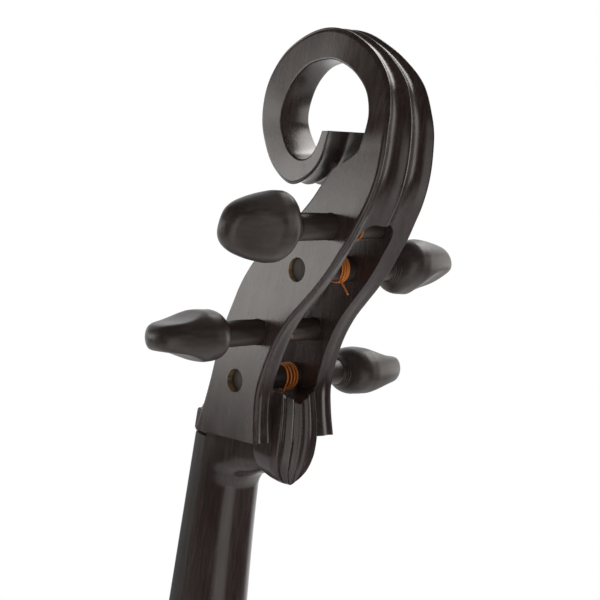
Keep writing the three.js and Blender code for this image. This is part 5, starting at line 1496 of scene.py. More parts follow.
@dataclass
class Body:
    """The solid core, the two side wings and their screws."""

    width: float = 96.0
    rail: float = 23.0
    wing_back: float = 12.0
    wing_depth: float = 22.0
    lower_bout: float = 438.0
    tongue_length: float = 24.0
    tongue_half_depth: float = 3.5
    tongue_half_height: float = 7.5

    def half_width(self, z: float) -> float:
        """Returns the half width of the core at a height."""
        share = (BODY_TOP - z) / BODY_LENGTH
        for (low, first), (high, second) in zip(CORE_ROWS, CORE_ROWS[1:]):
            if low <= share <= high:
                return mix(first, second, (share - low) / (high - low)) * self.width / 2
        return CORE_ROWS[-1][1] * self.width / 2

    def wing_points(self, rows: Sequence[Pair]) -> List[Vector]:
        """Turns rows of shares into points of the outline in X and Z."""
        return [Vector((half * self.lower_bout / 2, 0, BODY_TOP - down * BODY_LENGTH)) for down, half in rows]

    def wing_outline(self) -> List[Vector]:
        """Returns the outer line of the treble wing from its upper arm to its lower arm."""
        line = uniform_line(self.wing_points(WING_OUTER), 3 * (len(WING_OUTER) - 1))
        line += self.wing_points(WING_UPPER_CORNER)
        line += uniform_line(self.wing_points(WING_WAIST), 3 * (len(WING_WAIST) - 1))
        line += self.wing_points(WING_LOWER_CORNER)
        return line + uniform_line(self.wing_points(WING_LOWER), 3 * (len(WING_LOWER) - 1))

    def tongue_heights(self) -> Tuple[float, float]:
        """Returns the heights of the two arms."""
        line = self.wing_outline()
        return line[0].z - self.rail / 2, line[-1].z + self.rail / 2

    def wing_shape(self, side: int) -> List[Vector]:
        """Returns the closed outline of a wing."""
        outer = self.wing_outline()
        inner = []
        for k, point in enumerate(outer):
            along = (outer[min(k + 1, len(outer) - 1)] - outer[max(k - 1, 0)]).normalized()
            inner.append(Vector((point.x + along.z * self.rail, 0, point.z - along.x * self.rail)))
        inner = inner[2:-2]
        top, low = outer[0].z, outer[-1].z
        flank = [Vector((self.half_width(z) + CLEARANCE, 0, z))
                 for z in (top, low, low + self.rail, top - self.rail)]
        line = [flank[0], *outer[1:-1], flank[1], flank[2], *reversed(inner), flank[3]]
        return [Vector((side * point.x, 0, point.z)) for point in smooth_line(line, 4, True, 24)]

    def tongue(self, side: int, z: float, gap: float) -> Form:
        """Makes the flat tongue of an arm, or its pocket where it has a gap round it."""
        middle = -(self.wing_back + self.wing_depth / 2)
        flank = self.half_width(z)
        ends = sorted((side * (flank - self.tongue_length - gap), side * (flank + self.rail / 2)))
        deep, high = self.tongue_half_depth, self.tongue_half_height
        return block(ends[0], ends[1], middle - deep - gap, middle + deep + gap, z - high - gap,
                     z + high + gap)

    def screw_x(self, side: int, z: float) -> float:
        """Returns the place of a wing screw across the core."""
        return side * (self.half_width(z) - self.tongue_length / 2)

    def build_wing(self, word: str, side: int) -> None:
        """Makes one wing and its two screws.

        Args:
            word: The name of its side.
            side: 1 on the treble side and -1 on the bass side.
        """
        plate = slab(self.wing_shape(side), -(self.wing_back + self.wing_depth), -self.wing_back)
        piece = to_object(f"side_wing_{word}", plate, [LACQUER])
        rounded(piece, 4.0, 5, 60)
        for z in self.tongue_heights():
            combine(piece, self.tongue(side, z, 0.0), "UNION")
            combine(piece, back_screw(WING_SCREW_LENGTH, CLEARANCE).moved(self.screw_x(side, z), 0, z))
        settle(piece, 34)
        publish(piece, FIXED, f"wing_{word}", LACQUER)
        for level, z in zip(("upper", "lower"), self.tongue_heights()):
            bolt("wing", f"{word}_{level}", WING_SCREW_LENGTH, self.screw_x(side, z), z)

    def build_core(self, controls: "Controls", battery: "Battery") -> None:
        """Makes the core with its pockets and bores.

        Args:
            controls: The controls, whose hollow is cut.
            battery: The battery bay, whose pocket is cut.
        """
        right = [Vector((half * self.width / 2, 0, BODY_TOP - down * BODY_LENGTH))
                 for down, half in CORE_ROWS]
        outline = smooth_line(right, 8, corner=50)
        outline += [Vector((-point.x, 0, point.z)) for point in reversed(outline)]
        piece = to_object("body_with_pockets", slab(outline, -CORE_DEPTH, 0.0), [LACQUER])
        rounded(piece, 4.5, 5, 60)
        front, low = -CORE_DEPTH - OVERRUN, BODY_TAIL - OVERRUN
        tenon = TENON_HALF + CLEARANCE
        cutters = [block(-tenon, tenon, front, TENON_BACK - NECK_FORWARD + CLEARANCE,
                         BODY_TOP - TENON_LENGTH - CLEARANCE, BODY_TOP + OVERRUN)]
        cutters += [back_screw(NECK_SCREW_LENGTH, CLEARANCE).moved(0, 0, z) for z in self.neck_screws()]
        step = BODY_TAIL + Endpin.sleeve_length + CLEARANCE
        wide = Endpin.sleeve + CLEARANCE
        bore = [(low, wide), (step, wide), (step, Endpin.bore), (BODY_TAIL + Endpin.rod_bore, Endpin.bore)]
        cutters += [turned("z", bore, 40).moved(0, -Endpin.depth, 0)]
        saddle = Tailpiece.saddle_half + CLEARANCE
        cutters += [block(-saddle, saddle, front, -CORE_DEPTH + 8.3, low, BODY_TAIL + 9.3)]
        for side in (-1, 1):
            cutters.append(Bridge.pickup(side, CLEARANCE))
            for z in self.tongue_heights():
                cutters.append(self.tongue(side, z, CLEARANCE))
                cutters.append(back_screw(WING_SCREW_LENGTH, CLEARANCE).moved(self.screw_x(side, z), 0, z))
        cutters += [controls.cavity(), battery.pocket()]
        cutters += [controls.plate_screw(CLEARANCE, z) for z in controls.screw_heights()]
        carve(piece, cutters)
        publish(piece, FIXED, "body_core", LACQUER)
        for level, z in zip(("upper", "lower"), self.neck_screws()):
            bolt("neck", level, NECK_SCREW_LENGTH, 0, z)

    @staticmethod
    def neck_screws() -> Tuple[float, float]:
        """Returns the heights of the two neck screws."""
        return BODY_TOP - 0.3 * TENON_LENGTH, BODY_TOP - 0.75 * TENON_LENGTH


BRIDGE_ROWS: Pairs = (
    (0.48, 0.0), (1.0, 0.0), (1.0, 0.045), (0.86, 0.12), (0.80, 0.24), (0.86, 0.36), (0.96, 0.44),
    (0.86, 0.49), (0.70, 0.50), (0.66, 0.62), (0.72, 0.78))
BRIDGE_ARCH: Pairs = ((0.48, 0.045), (0.44, 0.14), (0.26, 0.235), (0.0, 0.26))


@dataclass
class Bridge:
    """The carved bridge and the two pickup blocks under its feet."""

    width: float = 76.0
    foot: float = CORE_DEPTH + 0.6 + CLEARANCE
    top: float = BRIDGE_TOP
    foot_thickness: float = 11.0
    top_thickness: float = 4.0
    crown_share: float = 0.72
    inner_share: float = 0.48
    pickup_sunk: float = 2.2
    pickup_proud: float = 0.6
    pickup_half: float = 5.2

    @staticmethod
    def pickup(side: int, gap: float) -> Form:
        """Makes a pickup block, or its pocket where it has a gap round it."""
        half, proud, thick = Bridge.width / 2, Bridge.pickup_proud, Bridge.pickup_half
        ends = sorted((side * (half * Bridge.inner_share + CLEARANCE), side * (half - CLEARANCE)))
        floor = -CORE_DEPTH + Bridge.pickup_sunk - proud
        front = -CORE_DEPTH - (OVERRUN if gap else proud)
        return block(ends[0] - gap, ends[1] + gap, front, floor + gap, BRIDGE_PLACE - thick - gap,
                     BRIDGE_PLACE + thick + gap)

    def build(self) -> None:
        """Cuts the bridge with its heart and eyes, thins it to its top and sets it on the pickups."""
        half, tall = self.width / 2, self.top - self.foot

        def at(x: float, up: float) -> Vector:
            """Returns a point of the drawing from shares."""
            return Vector((x * half, 0, self.foot + up * tall))
        right = [at(x, up) for x, up in BRIDGE_ROWS]
        across = [mix(self.crown_share, -self.crown_share, k / 24) * half for k in range(25)]
        crown = [Vector((x, 0, self.top - crown_fall(x, CROWN_RADIUS))) for x in across]
        left = [at(-x, up) for x, up in reversed(BRIDGE_ROWS)]
        arch = [at(-x, up) for x, up in BRIDGE_ARCH] + [at(x, up) for x, up in reversed(BRIDGE_ARCH[:-1])]
        outline = smooth_line(right + crown + left + arch, 5, True, 48)
        piece = to_object("carved_bridge", slab(outline, -0.5, 0.5), [MAPLE])
        heart = []
        for a in angles(48):
            swell = 13 * math.cos(a) - 5 * math.cos(2 * a) - 2 * math.cos(3 * a) - math.cos(4 * a)
            heart.append(Vector((0.15 * half * math.sin(a) ** 3 * 1.05, 0,
                                 (0.56 * tall + self.foot) + 0.0075 * tall * swell)))
        combine(piece, slab(heart, -2, 2))
        for side in (-1, 1):
            eye = []
            for a in angles(32):
                up = self.foot + 0.40 * tall + 0.055 * tall * math.sin(a) + 0.02 * tall * math.cos(a) ** 2
                eye.append(Vector((side * 0.46 * half + 0.14 * half * math.cos(a), 0, up)))
            combine(piece, slab(eye, -2, 2))
        for vertex in piece.data.vertices:
            up, depth = vertex.co.z / MM, vertex.co.y / MM
            thick = mix(self.foot_thickness, self.top_thickness, (up - self.foot) / tall)
            vertex.co = Vector((vertex.co.x, -up * MM, (BRIDGE_PLACE + depth * thick) * MM))
        rounded(piece, 0.45, 2, 50)
        settle(piece, 34)
        publish(piece, FIXED, "bridge", MAPLE)
        for word, side in (("bass", -1), ("treble", 1)):
            block_piece = to_object(f"pickup_block_{word}", self.pickup(side, 0.0), [BRASS])
            rounded(block_piece, 0.25, 2)
            publish(block_piece, FIXED, f"piezo_{word}", BRASS)


@dataclass
class Tailpiece:
    """The tailpiece with its four fine tuners, the tail cord and the saddle."""

    top: float = BRIDGE_PLACE - 118.0
    end: float = BODY_TAIL + 22.0
    thickness: float = 9.0
    top_half: float = 31.0
    end_half: float = 18.0
    top_rise: float = 36.0
    end_rise: float = 15.0
    crown: float = 2.4
    tuner_below: float = 17.0
    tuner_spacing: float = 47.0
    screw_below: float = 16.0
    lever_half: float = 1.7
    cord_spread: float = 9.0
    cord_radius: float = 2.0
    saddle_half: float = 20.0

    def plane(self, z: float) -> float:
        """Returns the depth of the front of the tailpiece."""
        return -CORE_DEPTH - mix(self.top_rise, self.end_rise, (self.top - z) / (self.top - self.end))

    def tuner(self, peg: Peg) -> Vector:
        """Returns the place of a tuner."""
        z = self.top - self.tuner_below
        return Vector((peg.place * self.tuner_spacing, self.plane(z), z))

    def hook(self, peg: Peg) -> Vector:
        """Returns where the ball of a string sits in front of the hook of its tuner."""
        tuner = self.tuner(peg)
        return Vector((tuner.x, tuner.y - 3.5, tuner.z + self.lever_half + CLEARANCE + 0.54))

    def build(self, pegs: Sequence[Peg]) -> None:
        """Makes the tailpiece and what it holds.

        Args:
            pegs: The pegs, one for each string.
        """
        rings = []
        even = [(k / 10, 0.0) for k in range(1, 10)]
        for share, end in [(0, 1.2), (0.004, 0.3), (0.01, 0.0), *even, (0.99, 0.0), (0.996, 0.3), (1, 1.2)]:
            z = mix(self.top, self.end, share)
            plane = -self.plane(z)
            half = mix(self.top_half, self.end_half, share) - end
            rings.append(crowned_ring(z, half, -(plane - self.thickness) - end, plane - self.crown - end,
                                      plane - end, 1.2, 24))
        piece = to_object("crowned_tailpiece", loft(rings), [EBONY])
        hole, through = self.cord_radius + CLEARANCE, self.thickness + OVERRUN
        cutters = []
        for peg in pegs:
            spot = self.tuner(peg)
            cutters.append(block(spot.x - 2.5, spot.x + 2.5, spot.y - OVERRUN, spot.y + through, spot.z - 7.5,
                                 spot.z + 7.5))
            cutters.append(turned("y", [(-OVERRUN, hole), (through, hole)], 32).moved(
                spot.x, spot.y, spot.z - self.screw_below))
        for side in (-1, 1):
            cutters.append(turned("z", [(self.end - OVERRUN, hole), (self.end + 12.3, hole)], 32).moved(
                side * self.cord_spread, self.plane(self.end) + self.thickness / 2, 0))
        carve(piece, cutters)
        publish(piece, FIXED, "tailpiece", EBONY)
        for peg in pegs:
            self.build_tuner(peg)
        self.build_cord()
        section = ((-37, -0.8), (-37, 9), (-47.5, 9), (-50, 6.5), (-50, 2.5), (-47.5, -0.8))
        form = loft([[Vector((x, y, BODY_TAIL + up)) for y, up in section]
                     for x in (-self.saddle_half, self.saddle_half)])
        saddle = to_object("rounded_saddle", form, [EBONY])
        rounded(saddle, 0.9, 3, 20)
        settle(saddle, 34)
        publish(saddle, FIXED, "saddle", EBONY)

    def build_tuner(self, peg: Peg) -> None:
        """Makes the rocking lever and the knurled screw of one tuner.

        Args:
            peg: The peg of the same string.
        """
        spot, half = self.tuner(peg), self.lever_half
        left, right, up = spot.x - half, spot.x + half, spot.z + half
        z = spot.z - self.screw_below
        under = self.plane(z - half) + self.thickness + 0.5
        back = under + 2 * half
        upright = block(left, right, spot.y - 7, back, spot.z - half, up)
        lever = to_object(f"rocking_lever_{peg.name}", upright, [DARK_METAL])
        combine(lever, block(left, right, under, back, z - half, up), "UNION")
        combine(lever, turned("x", [(-4.4, 1), (4.4, 1)], 24).moved(spot.x, spot.y + 4.5, spot.z), "UNION")
        rounded(lever, 0.5, 3, 50)
        settle(lever, 34)
        publish(lever, f"tuner_lever_{peg.name}_rocking", f"tuner_lever_{peg.name}", DARK_METAL)
        node = f"tuner_screw_{peg.name}"
        tip, seat = under - CLEARANCE, self.plane(z) - 3
        form = turned("y", [(tip, 1.4), (tip - 0.6, 2), (seat, 2), (seat, 4.2), (seat - 0.5, 4.7),
                            (seat - 6.3, 4.7), (seat - 6.9, 4.2), (seat - 7, 3.0), (seat - 6.7, 2.4),
                            (seat - 6.6, 0.3)], 48)
        make(f"tuner_knob_{peg.name}", form.moved(spot.x, 0, z), f"{node}_turning", node, DARK_METAL, 30)
        grip = ribs(f"tuner_knurl_{peg.name}", "y", Vector((spot.x, seat - 3.4, z)), 30, 4.62, 0.36, 5.6,
                    DARK_METAL)
        publish(grip, f"{node}_turning", node, DARK_METAL)

    def build_cord(self) -> None:
        """Makes the cord that holds the tailpiece to the endpin collar."""
        spread, thick, deep = self.cord_spread, self.cord_radius, Endpin.depth
        crest, groove = -CORE_DEPTH - 5 - CLEARANCE - thick, BODY_TAIL - 3.5
        loop = (Endpin.groove + CLEARANCE + thick) / math.cos(math.pi / 24)
        y0 = self.plane(self.end) + self.thickness / 2
        half = [(spread, y0, self.end + 12), (spread, y0, self.end - thick), (spread, crest, BODY_TAIL + 9),
                (spread, crest, BODY_TAIL + CLEARANCE), (spread, crest + thick, groove),
                ((spread + loop) / 2, (crest - deep) / 2, groove), (loop, -deep, groove)]
        bottom = [(loop * math.cos(math.pi * k / 12), -deep + loop * math.sin(math.pi * k / 12), groove)
                  for k in range(1, 12)]
        points = [Vector(p) for p in half + bottom] + [Vector((-x, y, z)) for x, y, z in reversed(half)]
        cord = thread("tail_cord_round", smooth_line(points, 6, corner=170), thick, PLASTIC, 20)
        publish(cord, FIXED, "tail_cord", PLASTIC)


RUBBER_TIP_ROWS: Pairs = (
    (29.7, 5.3), (30, 5.6), (30, 7.1), (29.6, 7.4), (27, 7.4), (26.7, 7.1), (26.1, 7.1), (25.8, 7.4),
    (23, 7.4), (22.7, 7.1), (22.1, 7.1), (21.8, 7.4), (18, 7.4), (15, 7.9), (12.4, 8.7), (11, 9), (4.6, 9),
    (2.6, 8.4), (0.9, 7.2), (0.2, 6.4), (0, 5.6))


@dataclass
class Endpin:
    """The collar, sliding rod, clamp screw and rubber tip."""

    depth: float = 22.0
    bore: float = 5.3
    sleeve: float = 11.0
    sleeve_length: float = 32.0
    groove: float = 9.0
    rod_length: float = 500.0
    rod_bore: float = 455.0
    rod_end: float = BODY_TAIL - 62.0
    collar_top: float = BODY_TAIL - 7.0
    collar_length: float = 24.0
    knob: float = -18.0

    def build(self) -> Piece:
        """Makes the endpin, and returns its sliding rod."""
        top, end = self.collar_top, self.collar_top - self.collar_length
        high = BODY_TAIL + self.sleeve_length
        profile = [(high, self.bore), (high, self.sleeve - 0.4), (high - 0.4, self.sleeve),
                   (BODY_TAIL, self.sleeve), (BODY_TAIL, self.groove), (top, self.groove), (top, 14.2),
                   (top - 0.8, 15), (top - 2.2, 15), (top - 2.6, 14.4), (top - 3.2, 14.4), (top - 3.6, 15),
                   (top - 10, 15), (top - 14, 14.6), (top - 18, 14.6), (top - 20.4, 15), (end + 1.5, 15),
                   (end + 0.5, 14.4), (end, 13.5), (end, self.bore)]
        form = turned("z", profile, 72, True).moved(0, -self.depth, 0)
        collar = to_object("turned_collar", form, [EBONY], 30)
        middle = top - 12
        combine(collar, turned("y", [(-19, 3.3), (0, 3.3)], 32).moved(0, -self.depth, middle))
        settle(collar, 30)
        publish(collar, FIXED, "endpin_collar", EBONY)
        knob = self.knob
        screw = [(0.0, 3), (0.0, 5.0), (0.6, 5.4), (6.4, 8.2), (7.2, 8.6), (11.4, 8.6), (12, 8.0), (11.8, 5),
                 (11.4, 0.3)]
        form = turned("y", [(-5.3, 2.4), (-5.9, 3)] + [(knob - out, radius) for out, radius in screw], 64)
        clamp = ("clamp_screw_turning", "endpin_clamp_screw", BRIGHT)
        make("clamp_knob", form.moved(0, -self.depth, middle), *clamp, 30)
        centre = Vector((0, -self.depth + knob - 9.3, middle))
        publish(ribs("clamp_knurl", "y", centre, 44, 8.5, 0.45, 4.0, BRIGHT), *clamp)
        softened = [(0.0, 4.2), (0.3, 4.7), (0.8, 5)]
        line = [(self.rod_end + up, radius) for up, radius in softened]
        line += [(self.rod_end + self.rod_length - down, radius) for down, radius in reversed(softened)]
        rod = turned("z", line, 48).moved(0, -self.depth, 0)
        steel = make("steel_rod", rod, "endpin_sliding", "endpin_rod", BRIGHT, 30)
        floor = self.rod_end - CLEARANCE
        tip = [(floor, self.bore)] + [(floor - 6 + up, radius) for up, radius in RUBBER_TIP_ROWS]
        foot = turned("z", tip, 64).moved(0, -self.depth, 0)
        make("rubber_foot", foot, "endpin_sliding", "rubber_tip", RUBBER, 50)
        return steel


@dataclass
class Controls:
    """The control plate on the treble flank, with two knobs and two sockets."""

    middle: float = BRIDGE_PLACE - 172.0
    length: float = 160.0
    height: float = 30.0
    pitch: float = 34.0
    flank: float = 48.0
    hollow_from: float = 14.0
    hollow_half: float = 11.0
    hollow_margin: float = 8.0
    inner: float = flank + CLEARANCE
    thickness: float = 2.5
    depth: float = -CORE_DEPTH / 2

    def control(self, index: int) -> float:
        """Returns the height of a control."""
        return self.middle + (1.5 - index) * self.pitch

    def screw_heights(self) -> Tuple[float, float]:
        """Returns the heights of the two plate screws."""
        return self.middle + self.length / 2 - 4, self.middle - self.length / 2 + 4

    def plate_screw(self, gap: float, z: float) -> Form:
        """Makes a plate screw, or its bore where it has a gap round it."""
        face = self.inner + self.thickness + CLEARANCE
        return turned("x", [(face - 12 - gap, 1.4 + gap), (face, 1.4 + gap), (face, 2.8 + gap),
                            (face + 1.2, 2.8 + gap), (face + 1.6, 2.2 + gap)], 32).moved(0, self.depth, z)

    def cavity(self) -> Form:
        """Makes the hollow behind the plate."""
        low = self.middle - self.length / 2 + self.hollow_margin
        high = self.middle + self.length / 2 - self.hollow_margin
        front, back = self.depth - self.hollow_half, self.depth + self.hollow_half
        return block(self.hollow_from, self.flank + OVERRUN, front, back, low, high)

    def build(self) -> None:
        """Makes the plate, the knobs, the sockets and the screws."""
        outer = self.inner + self.thickness
        half, tall = self.height / 2, self.length / 2
        front, back = self.depth - half, self.depth + half
        form = block(self.inner, outer, front, back, self.middle - tall, self.middle + tall)
        plate = to_object("control_panel", form, [DARK_METAL])
        rounded(plate, 0.7, 3)
        holes = [(self.control(index), radius, 48) for index, radius in enumerate((4.5, 4.5, 6.2, 4.2))]
        holes += [(z, 1.4, 32) for z in self.screw_heights()]
        low, high = self.inner - OVERRUN, outer + OVERRUN
        carve(plate, [turned("x", [(low, radius + CLEARANCE), (high, radius + CLEARANCE)], sides).moved(
            0, self.depth, z) for z, radius, sides in holes])
        publish(plate, FIXED, "control_plate", DARK_METAL)
        for level, z in zip(("upper", "lower"), self.screw_heights()):
            screw = screw_piece(f"panel_bolt_{level}", self.plate_screw(0.0, z), "x",
                                Vector((outer + CLEARANCE + 1.6, self.depth, z)), 2.9)
            publish(screw, FIXED, f"plate_screw_{level}", BRIGHT)
        for word, index in (("volume", 0), ("tone", 1)):
            self.build_knob(word, self.control(index), outer)
        self.build_socket("output_jack", 2, 6.2, 3.3, 26.0, 8.5)
        self.build_socket("headphone_jack", 3, 4.2, 1.8, 15.0, 6.0)

    def build_knob(self, word: str, z: float, outer: float) -> None:
        """Makes a knob with fine ribs and a pointer line.

        Args:
            word: The name of the control.
            z: Its height.
            outer: X of the outer face of the plate.
        """
        foot = outer + 1.5
        face = foot + 14
        form = turned("x", [(face - 3, 3.1), (foot, 3.1), (foot, 8.6), (foot + 0.5, 9.0), (foot + 2.2, 9.0),
                            (foot + 2.7, 8.55), (face - 1.9, 7.95), (face - 1.0, 7.6), (face - 0.35, 7.0),
                            (face, 6.2), (face, 5.2), (face - 0.5, 4.4), (face - 0.8, 0.3)], 72)
        place = (f"{word}_turning", f"{word}_knob")
        make(f"ribbed_knob_{word}", form.moved(0, self.depth, z), *place, PLASTIC, 40)
        middle = Vector(((foot + face) / 2 + 0.4, self.depth, z))
        publish(ribs(f"knob_ribs_{word}", "x", middle, 36, 8.1, 0.45, 9.4, PLASTIC), *place, PLASTIC)
        mark = block(face - 0.72, face + 0.12, self.depth - 0.45, self.depth + 0.45, z + 1.4, z + 6.4)
        make(f"knob_pointer_{word}", mark, *place, POINTER)
        dress(f"{word}_pot", BRIGHT)
        dress(f"{word}_spindle", BRIGHT)

    def build_socket(self, node: str, index: int, radius: float, bore: float, depth: float,
                     flange: float) -> None:
        """Makes a socket with a softened flange and a six-sided nut.

        Args:
            node: The node that it stands for.
            index: Its place on the plate.
            radius: Radius of its sleeve.
            bore: Radius of its bore.
            depth: How far it reaches behind the plate.
            flange: Radius of its flange.
        """
        seat = self.inner + self.thickness + CLEARANCE
        z = self.control(index)
        form = turned("x", [(self.inner - depth, bore), (self.inner - depth, radius), (seat, radius),
                            (seat, flange), (seat + 0.9, flange), (seat + 1.1, flange - 0.2),
                            (seat + 1.1, radius - 0.4), (seat + 2.6, radius - 0.4),
                            (seat + 3.0, radius - 0.8), (seat + 3.0, bore + 0.5), (seat + 2.5, bore)], 64,
                            True)
        make(f"socket_{node}", form.moved(0, self.depth, z), FIXED, node, BRIGHT, 30)
        hexagon = turned("x", [(seat + 1.0, radius + 1.1), (seat + 2.3, radius + 1.1)], 6)
        nut = to_object(f"hex_nut_{node}", hexagon.moved(0, self.depth, z), [BRIGHT])
        hole = turned("x", [(seat, radius - 0.5), (seat + 4, radius - 0.5)], 48)
        combine(nut, hole.moved(0, self.depth, z))
        rounded(nut, 0.2, 2, 50)
        settle(nut, 30)
        publish(nut, FIXED, node, BRIGHT)


@dataclass
class Battery:
    """The battery bay with its hinged door on the bass side of the back."""

    left: float = -42.7
    right: float = -7.8
    low: float = -225.2
    high: float = -173.3
    floor: float = -22.2
    hinge: Pair = (-39.0, -2.2)

    def pocket(self) -> Form:
        """Makes the pocket of the bay in the core."""
        gap = CLEARANCE
        return block(self.left - gap, self.right + gap, self.floor - gap, OVERRUN, self.low - gap,
                     self.high + gap)

    def build(self) -> None:
        """Makes the door and dresses the box, the battery and the pin."""
        low, high = (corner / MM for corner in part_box("battery_door"))
        thick = -self.hinge[1]
        door = to_object("bay_door", block(self.hinge[0], high.x, -thick, 0.0, low.z, high.z), [PLASTIC])
        combine(door, turned("z", [(low.z, thick), (high.z, thick)], 40).moved(*self.hinge, 0), "UNION")
        middle = (low.z + high.z) / 2
        combine(door, block(high.x - 3, high.x + OVERRUN, -1.2, OVERRUN, middle - 7, middle + 7))
        bore = turned("z", [(low.z - OVERRUN, 1.3), (high.z + OVERRUN, 1.3)], 32)
        combine(door, bore.moved(*self.hinge, 0))
        rounded(door, 0.3, 2, 50)
        settle(door, 34)
        publish(door, "battery_door_swinging", "battery_door", PLASTIC)
        for number in range(3):
            x = high.x - 6.0 - 2.0 * number
            bar = block(x - 0.4, x + 0.4, -0.4, 0.0, middle - 8, middle + 8)
            make(f"door_grip_{number}", bar, "battery_door_swinging", "battery_door", PLASTIC)
        dress("battery_box", PLASTIC)
        dress("battery", CELL)
        dress("door_hinge_pin", BRIGHT)


# Studio


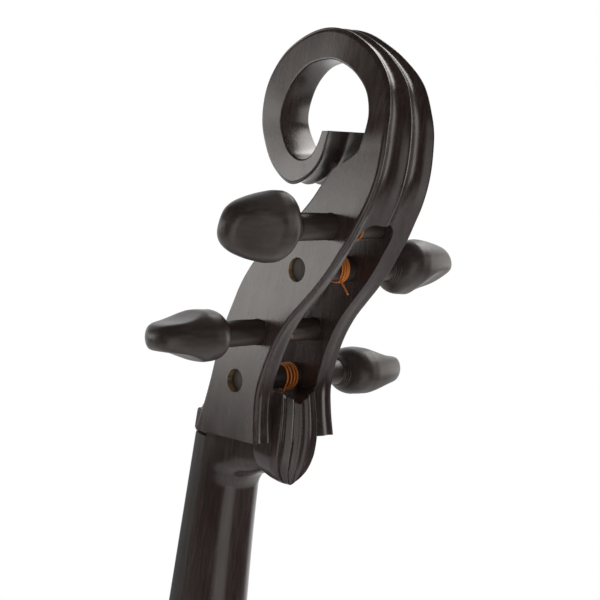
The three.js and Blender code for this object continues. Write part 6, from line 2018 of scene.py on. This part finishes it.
@dataclass
class Studio:
    """The camera, the lamps, the white surroundings and the floor."""

    camera_place: Triple = (0.4782, 0.4871, 0.8328)
    right: Triple = (-0.7504, 0.6478, 0.1311)
    forward: Triple = (-0.6602, -0.7248, -0.1970)
    lens: float = 89.06
    head_place: Triple = (0.0, -0.02, 0.72)
    lamp_distance: float = 1.4
    lamp_colour: Triple = (1.0, 0.972, 0.945)
    floor_height: float = -0.4935
    floor_radius: float = 2.3

    def build(self) -> None:
        """Sets up everything round the object."""
        self.build_camera()
        self.build_world()
        self.build_floor()
        middle = Vector(self.head_place)
        for name, way, wide, high, power in (("left_softbox", (0.66, -0.73, -0.10), 0.95, 0.31, 4.0),
                                             ("right_softbox", (-0.93, 0.34, 0.05), 1.0, 0.9, 6.5),
                                             ("high_softbox", (-0.72, -0.10, 0.66), 1.1, 0.6, 12.0)):
            self.lamp(name, middle + self.lamp_distance * Vector(way), middle, wide, high, power)
        self.lamp("body_softbox", Vector((0.9, 1.4, 0.2)), Vector((0, 0, -0.1)), 1.4, 1.4, 8.0)

    def build_camera(self) -> None:
        """Places the camera where the photograph was taken."""
        data = bpy.data.cameras.new("photo_camera")
        data.lens = self.lens
        data.sensor_width = 36.0
        data.clip_end = 60.0
        camera = add_object("photo_camera", data)
        back = -Vector(self.forward).normalized()
        across = Vector(self.right).normalized()
        up = back.cross(across).normalized()
        matrix = Matrix((across, up, back)).transposed().to_4x4()
        matrix.translation = Vector(self.camera_place)
        camera.matrix_world = matrix
        bpy.context.scene.camera = camera

    def lamp(self, name: str, place: Vector, aim: Vector, wide: float, high: float, power: float) -> None:
        """Adds a soft lamp.

        Args:
            name: Its name.
            place: Where it hangs, in metres.
            aim: The point that it faces.
            wide: Its width.
            high: Its height.
            power: Its power in watts.
        """
        data = bpy.data.lights.new(name, "AREA")
        data.shape = "RECTANGLE"
        data.size, data.size_y = wide, high
        data.energy = power
        data.color = self.lamp_colour
        lamp = add_object(name, data)
        lamp.visible_camera = False
        facing = (aim - place).to_track_quat("-Z", "Y").to_matrix().to_4x4()
        lamp.matrix_world = Matrix.Translation(place) @ facing

    def build_world(self) -> None:
        """Makes the white surroundings, which the camera and bright metal see, and their lower light."""
        world = bpy.data.worlds.new("white_studio")
        bpy.context.scene.world = world
        maker = fresh_nodes(world)
        path = maker.node("ShaderNodeLightPath")
        direction = maker.node("ShaderNodeTexCoord").outputs["Generated"]
        behind = maker.node("ShaderNodeVectorMath", {"operation": "DOT_PRODUCT"}, i0=direction,
                            i1=tuple(Vector(self.forward).normalized())).outputs["Value"]
        flag = maker.remap(behind, 0.4, 0.72, 0.02, 1.25)
        seen = maker.math("MAXIMUM", path.outputs["Is Camera Ray"], path.outputs["Is Transmission Ray"])
        glossy = maker.math("MULTIPLY", path.outputs["Is Glossy Ray"], flag)
        rest = maker.math("SUBTRACT", 1.0, maker.math("MAXIMUM", path.outputs["Is Glossy Ray"], seen))
        level = maker.math("MAXIMUM", maker.math("MAXIMUM", seen, glossy), maker.math("MULTIPLY", rest, 0.75))
        back = maker.node("ShaderNodeBackground", Color=(1, 1, 1, 1), Strength=level)
        maker.node("ShaderNodeOutputWorld", Surface=back.outputs[0])

    def build_floor(self) -> None:
        """Makes the pale round floor, which keeps the shadow of the object and fades to white at its rim."""
        mesh = bpy.data.meshes.new("floor")
        size, around = self.floor_radius, angles(96)
        rim = [(size * math.cos(a), size * math.sin(a), self.floor_height) for a in around]
        mesh.from_pydata(rim, [], [tuple(range(len(around)))])
        floor = add_object("floor", mesh)
        material = bpy.data.materials.new("pale_floor")
        maker = fresh_nodes(material)
        path = maker.node("ShaderNodeLightPath")
        place = maker.node("ShaderNodeTexCoord").outputs["Object"]
        far = maker.node("ShaderNodeVectorMath", {"operation": "LENGTH"}, i0=place).outputs["Value"]
        white_share = maker.remap(far, 0.35 * size, 0.98 * size, 0.6, 1.0)
        seen = maker.math("MULTIPLY", path.outputs["Is Camera Ray"], white_share)
        matt = maker.node("ShaderNodeBsdfPrincipled", Base_Color=(0.82, 0.82, 0.82, 1), Roughness=0.9)
        white = maker.node("ShaderNodeEmission", Color=(1, 1, 1, 1), Strength=1.0)
        both = maker.node("ShaderNodeMixShader", i0=seen, i1=matt.outputs[0], i2=white.outputs[0])
        maker.node("ShaderNodeOutputMaterial", Surface=both.outputs[0])
        mesh.materials.append(material)

    @staticmethod
    def stand_on_floor(rod: Piece) -> None:
        """Lets the floor sink with the sliding endpin, so that its tip stands on it at every pose.

        Args:
            rod: The sliding rod of the endpin.
        """
        follow = bpy.data.objects["floor"].constraints.new("COPY_LOCATION")
        follow.target = rod
        follow.use_x = follow.use_y = False
        follow.use_offset = True


def main() -> None:
    """Builds the sub-assemblies in order."""
    logging.basicConfig(level=logging.INFO, format="%(message)s")
    bpy.context.scene.view_settings.view_transform = "Standard"
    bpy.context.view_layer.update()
    Studio().build()
    head = Head()
    pegs = [
        Peg("a", place=0.5, gauge=0.4, back=34.9, up=55.9, side=1, turn=100, loops=4, wind=0.152,
            standoff=21.0, recess=1.5, turns=1.4, lay=1.5, loose=(1.2, -1.6)),
        Peg("d", place=1 / 6, gauge=0.5, back=71.3, up=114.9, side=1, turn=-12, loops=2, wind=0.068,
            standoff=21.0, recess=1.5, turns=1.1, lay=1.35, loose=(0.4, -0.6)),
        Peg("g", place=-1 / 6, gauge=0.65, back=54.7, up=91.0, side=-1, turn=130, loops=3, wind=-0.1163,
            standoff=16.8, recess=1.5, turns=3.5, lay=1.35, loose=(8.4, -5.6)),
        Peg("c", place=-0.5, gauge=0.85, back=25.0, up=28.9, side=-1, turn=100, loops=4, wind=-0.155,
            standoff=17.9, recess=2.6, turns=3.45, lay=2.05, loose=(-2.6, -5.0)),
    ]
    head.build(pegs)
    for peg in pegs:
        peg.build(head)
        peg.wind_silk(head)
    tail = Tailpiece()
    Strings().build(pegs, head, tail)
    Board().build(head)
    body, controls, battery = Body(), Controls(), Battery()
    body.build_core(controls, battery)
    for word, side in (("bass", -1), ("treble", 1)):
        body.build_wing(word, side)
    Bridge().build()
    tail.build(pegs)
    Studio.stand_on_floor(Endpin().build())
    controls.build()
    battery.build()
    dress("preamp_board", CIRCUIT)
    dress("piezo_lead", PLASTIC)


if __name__ == "__main__":
    main()
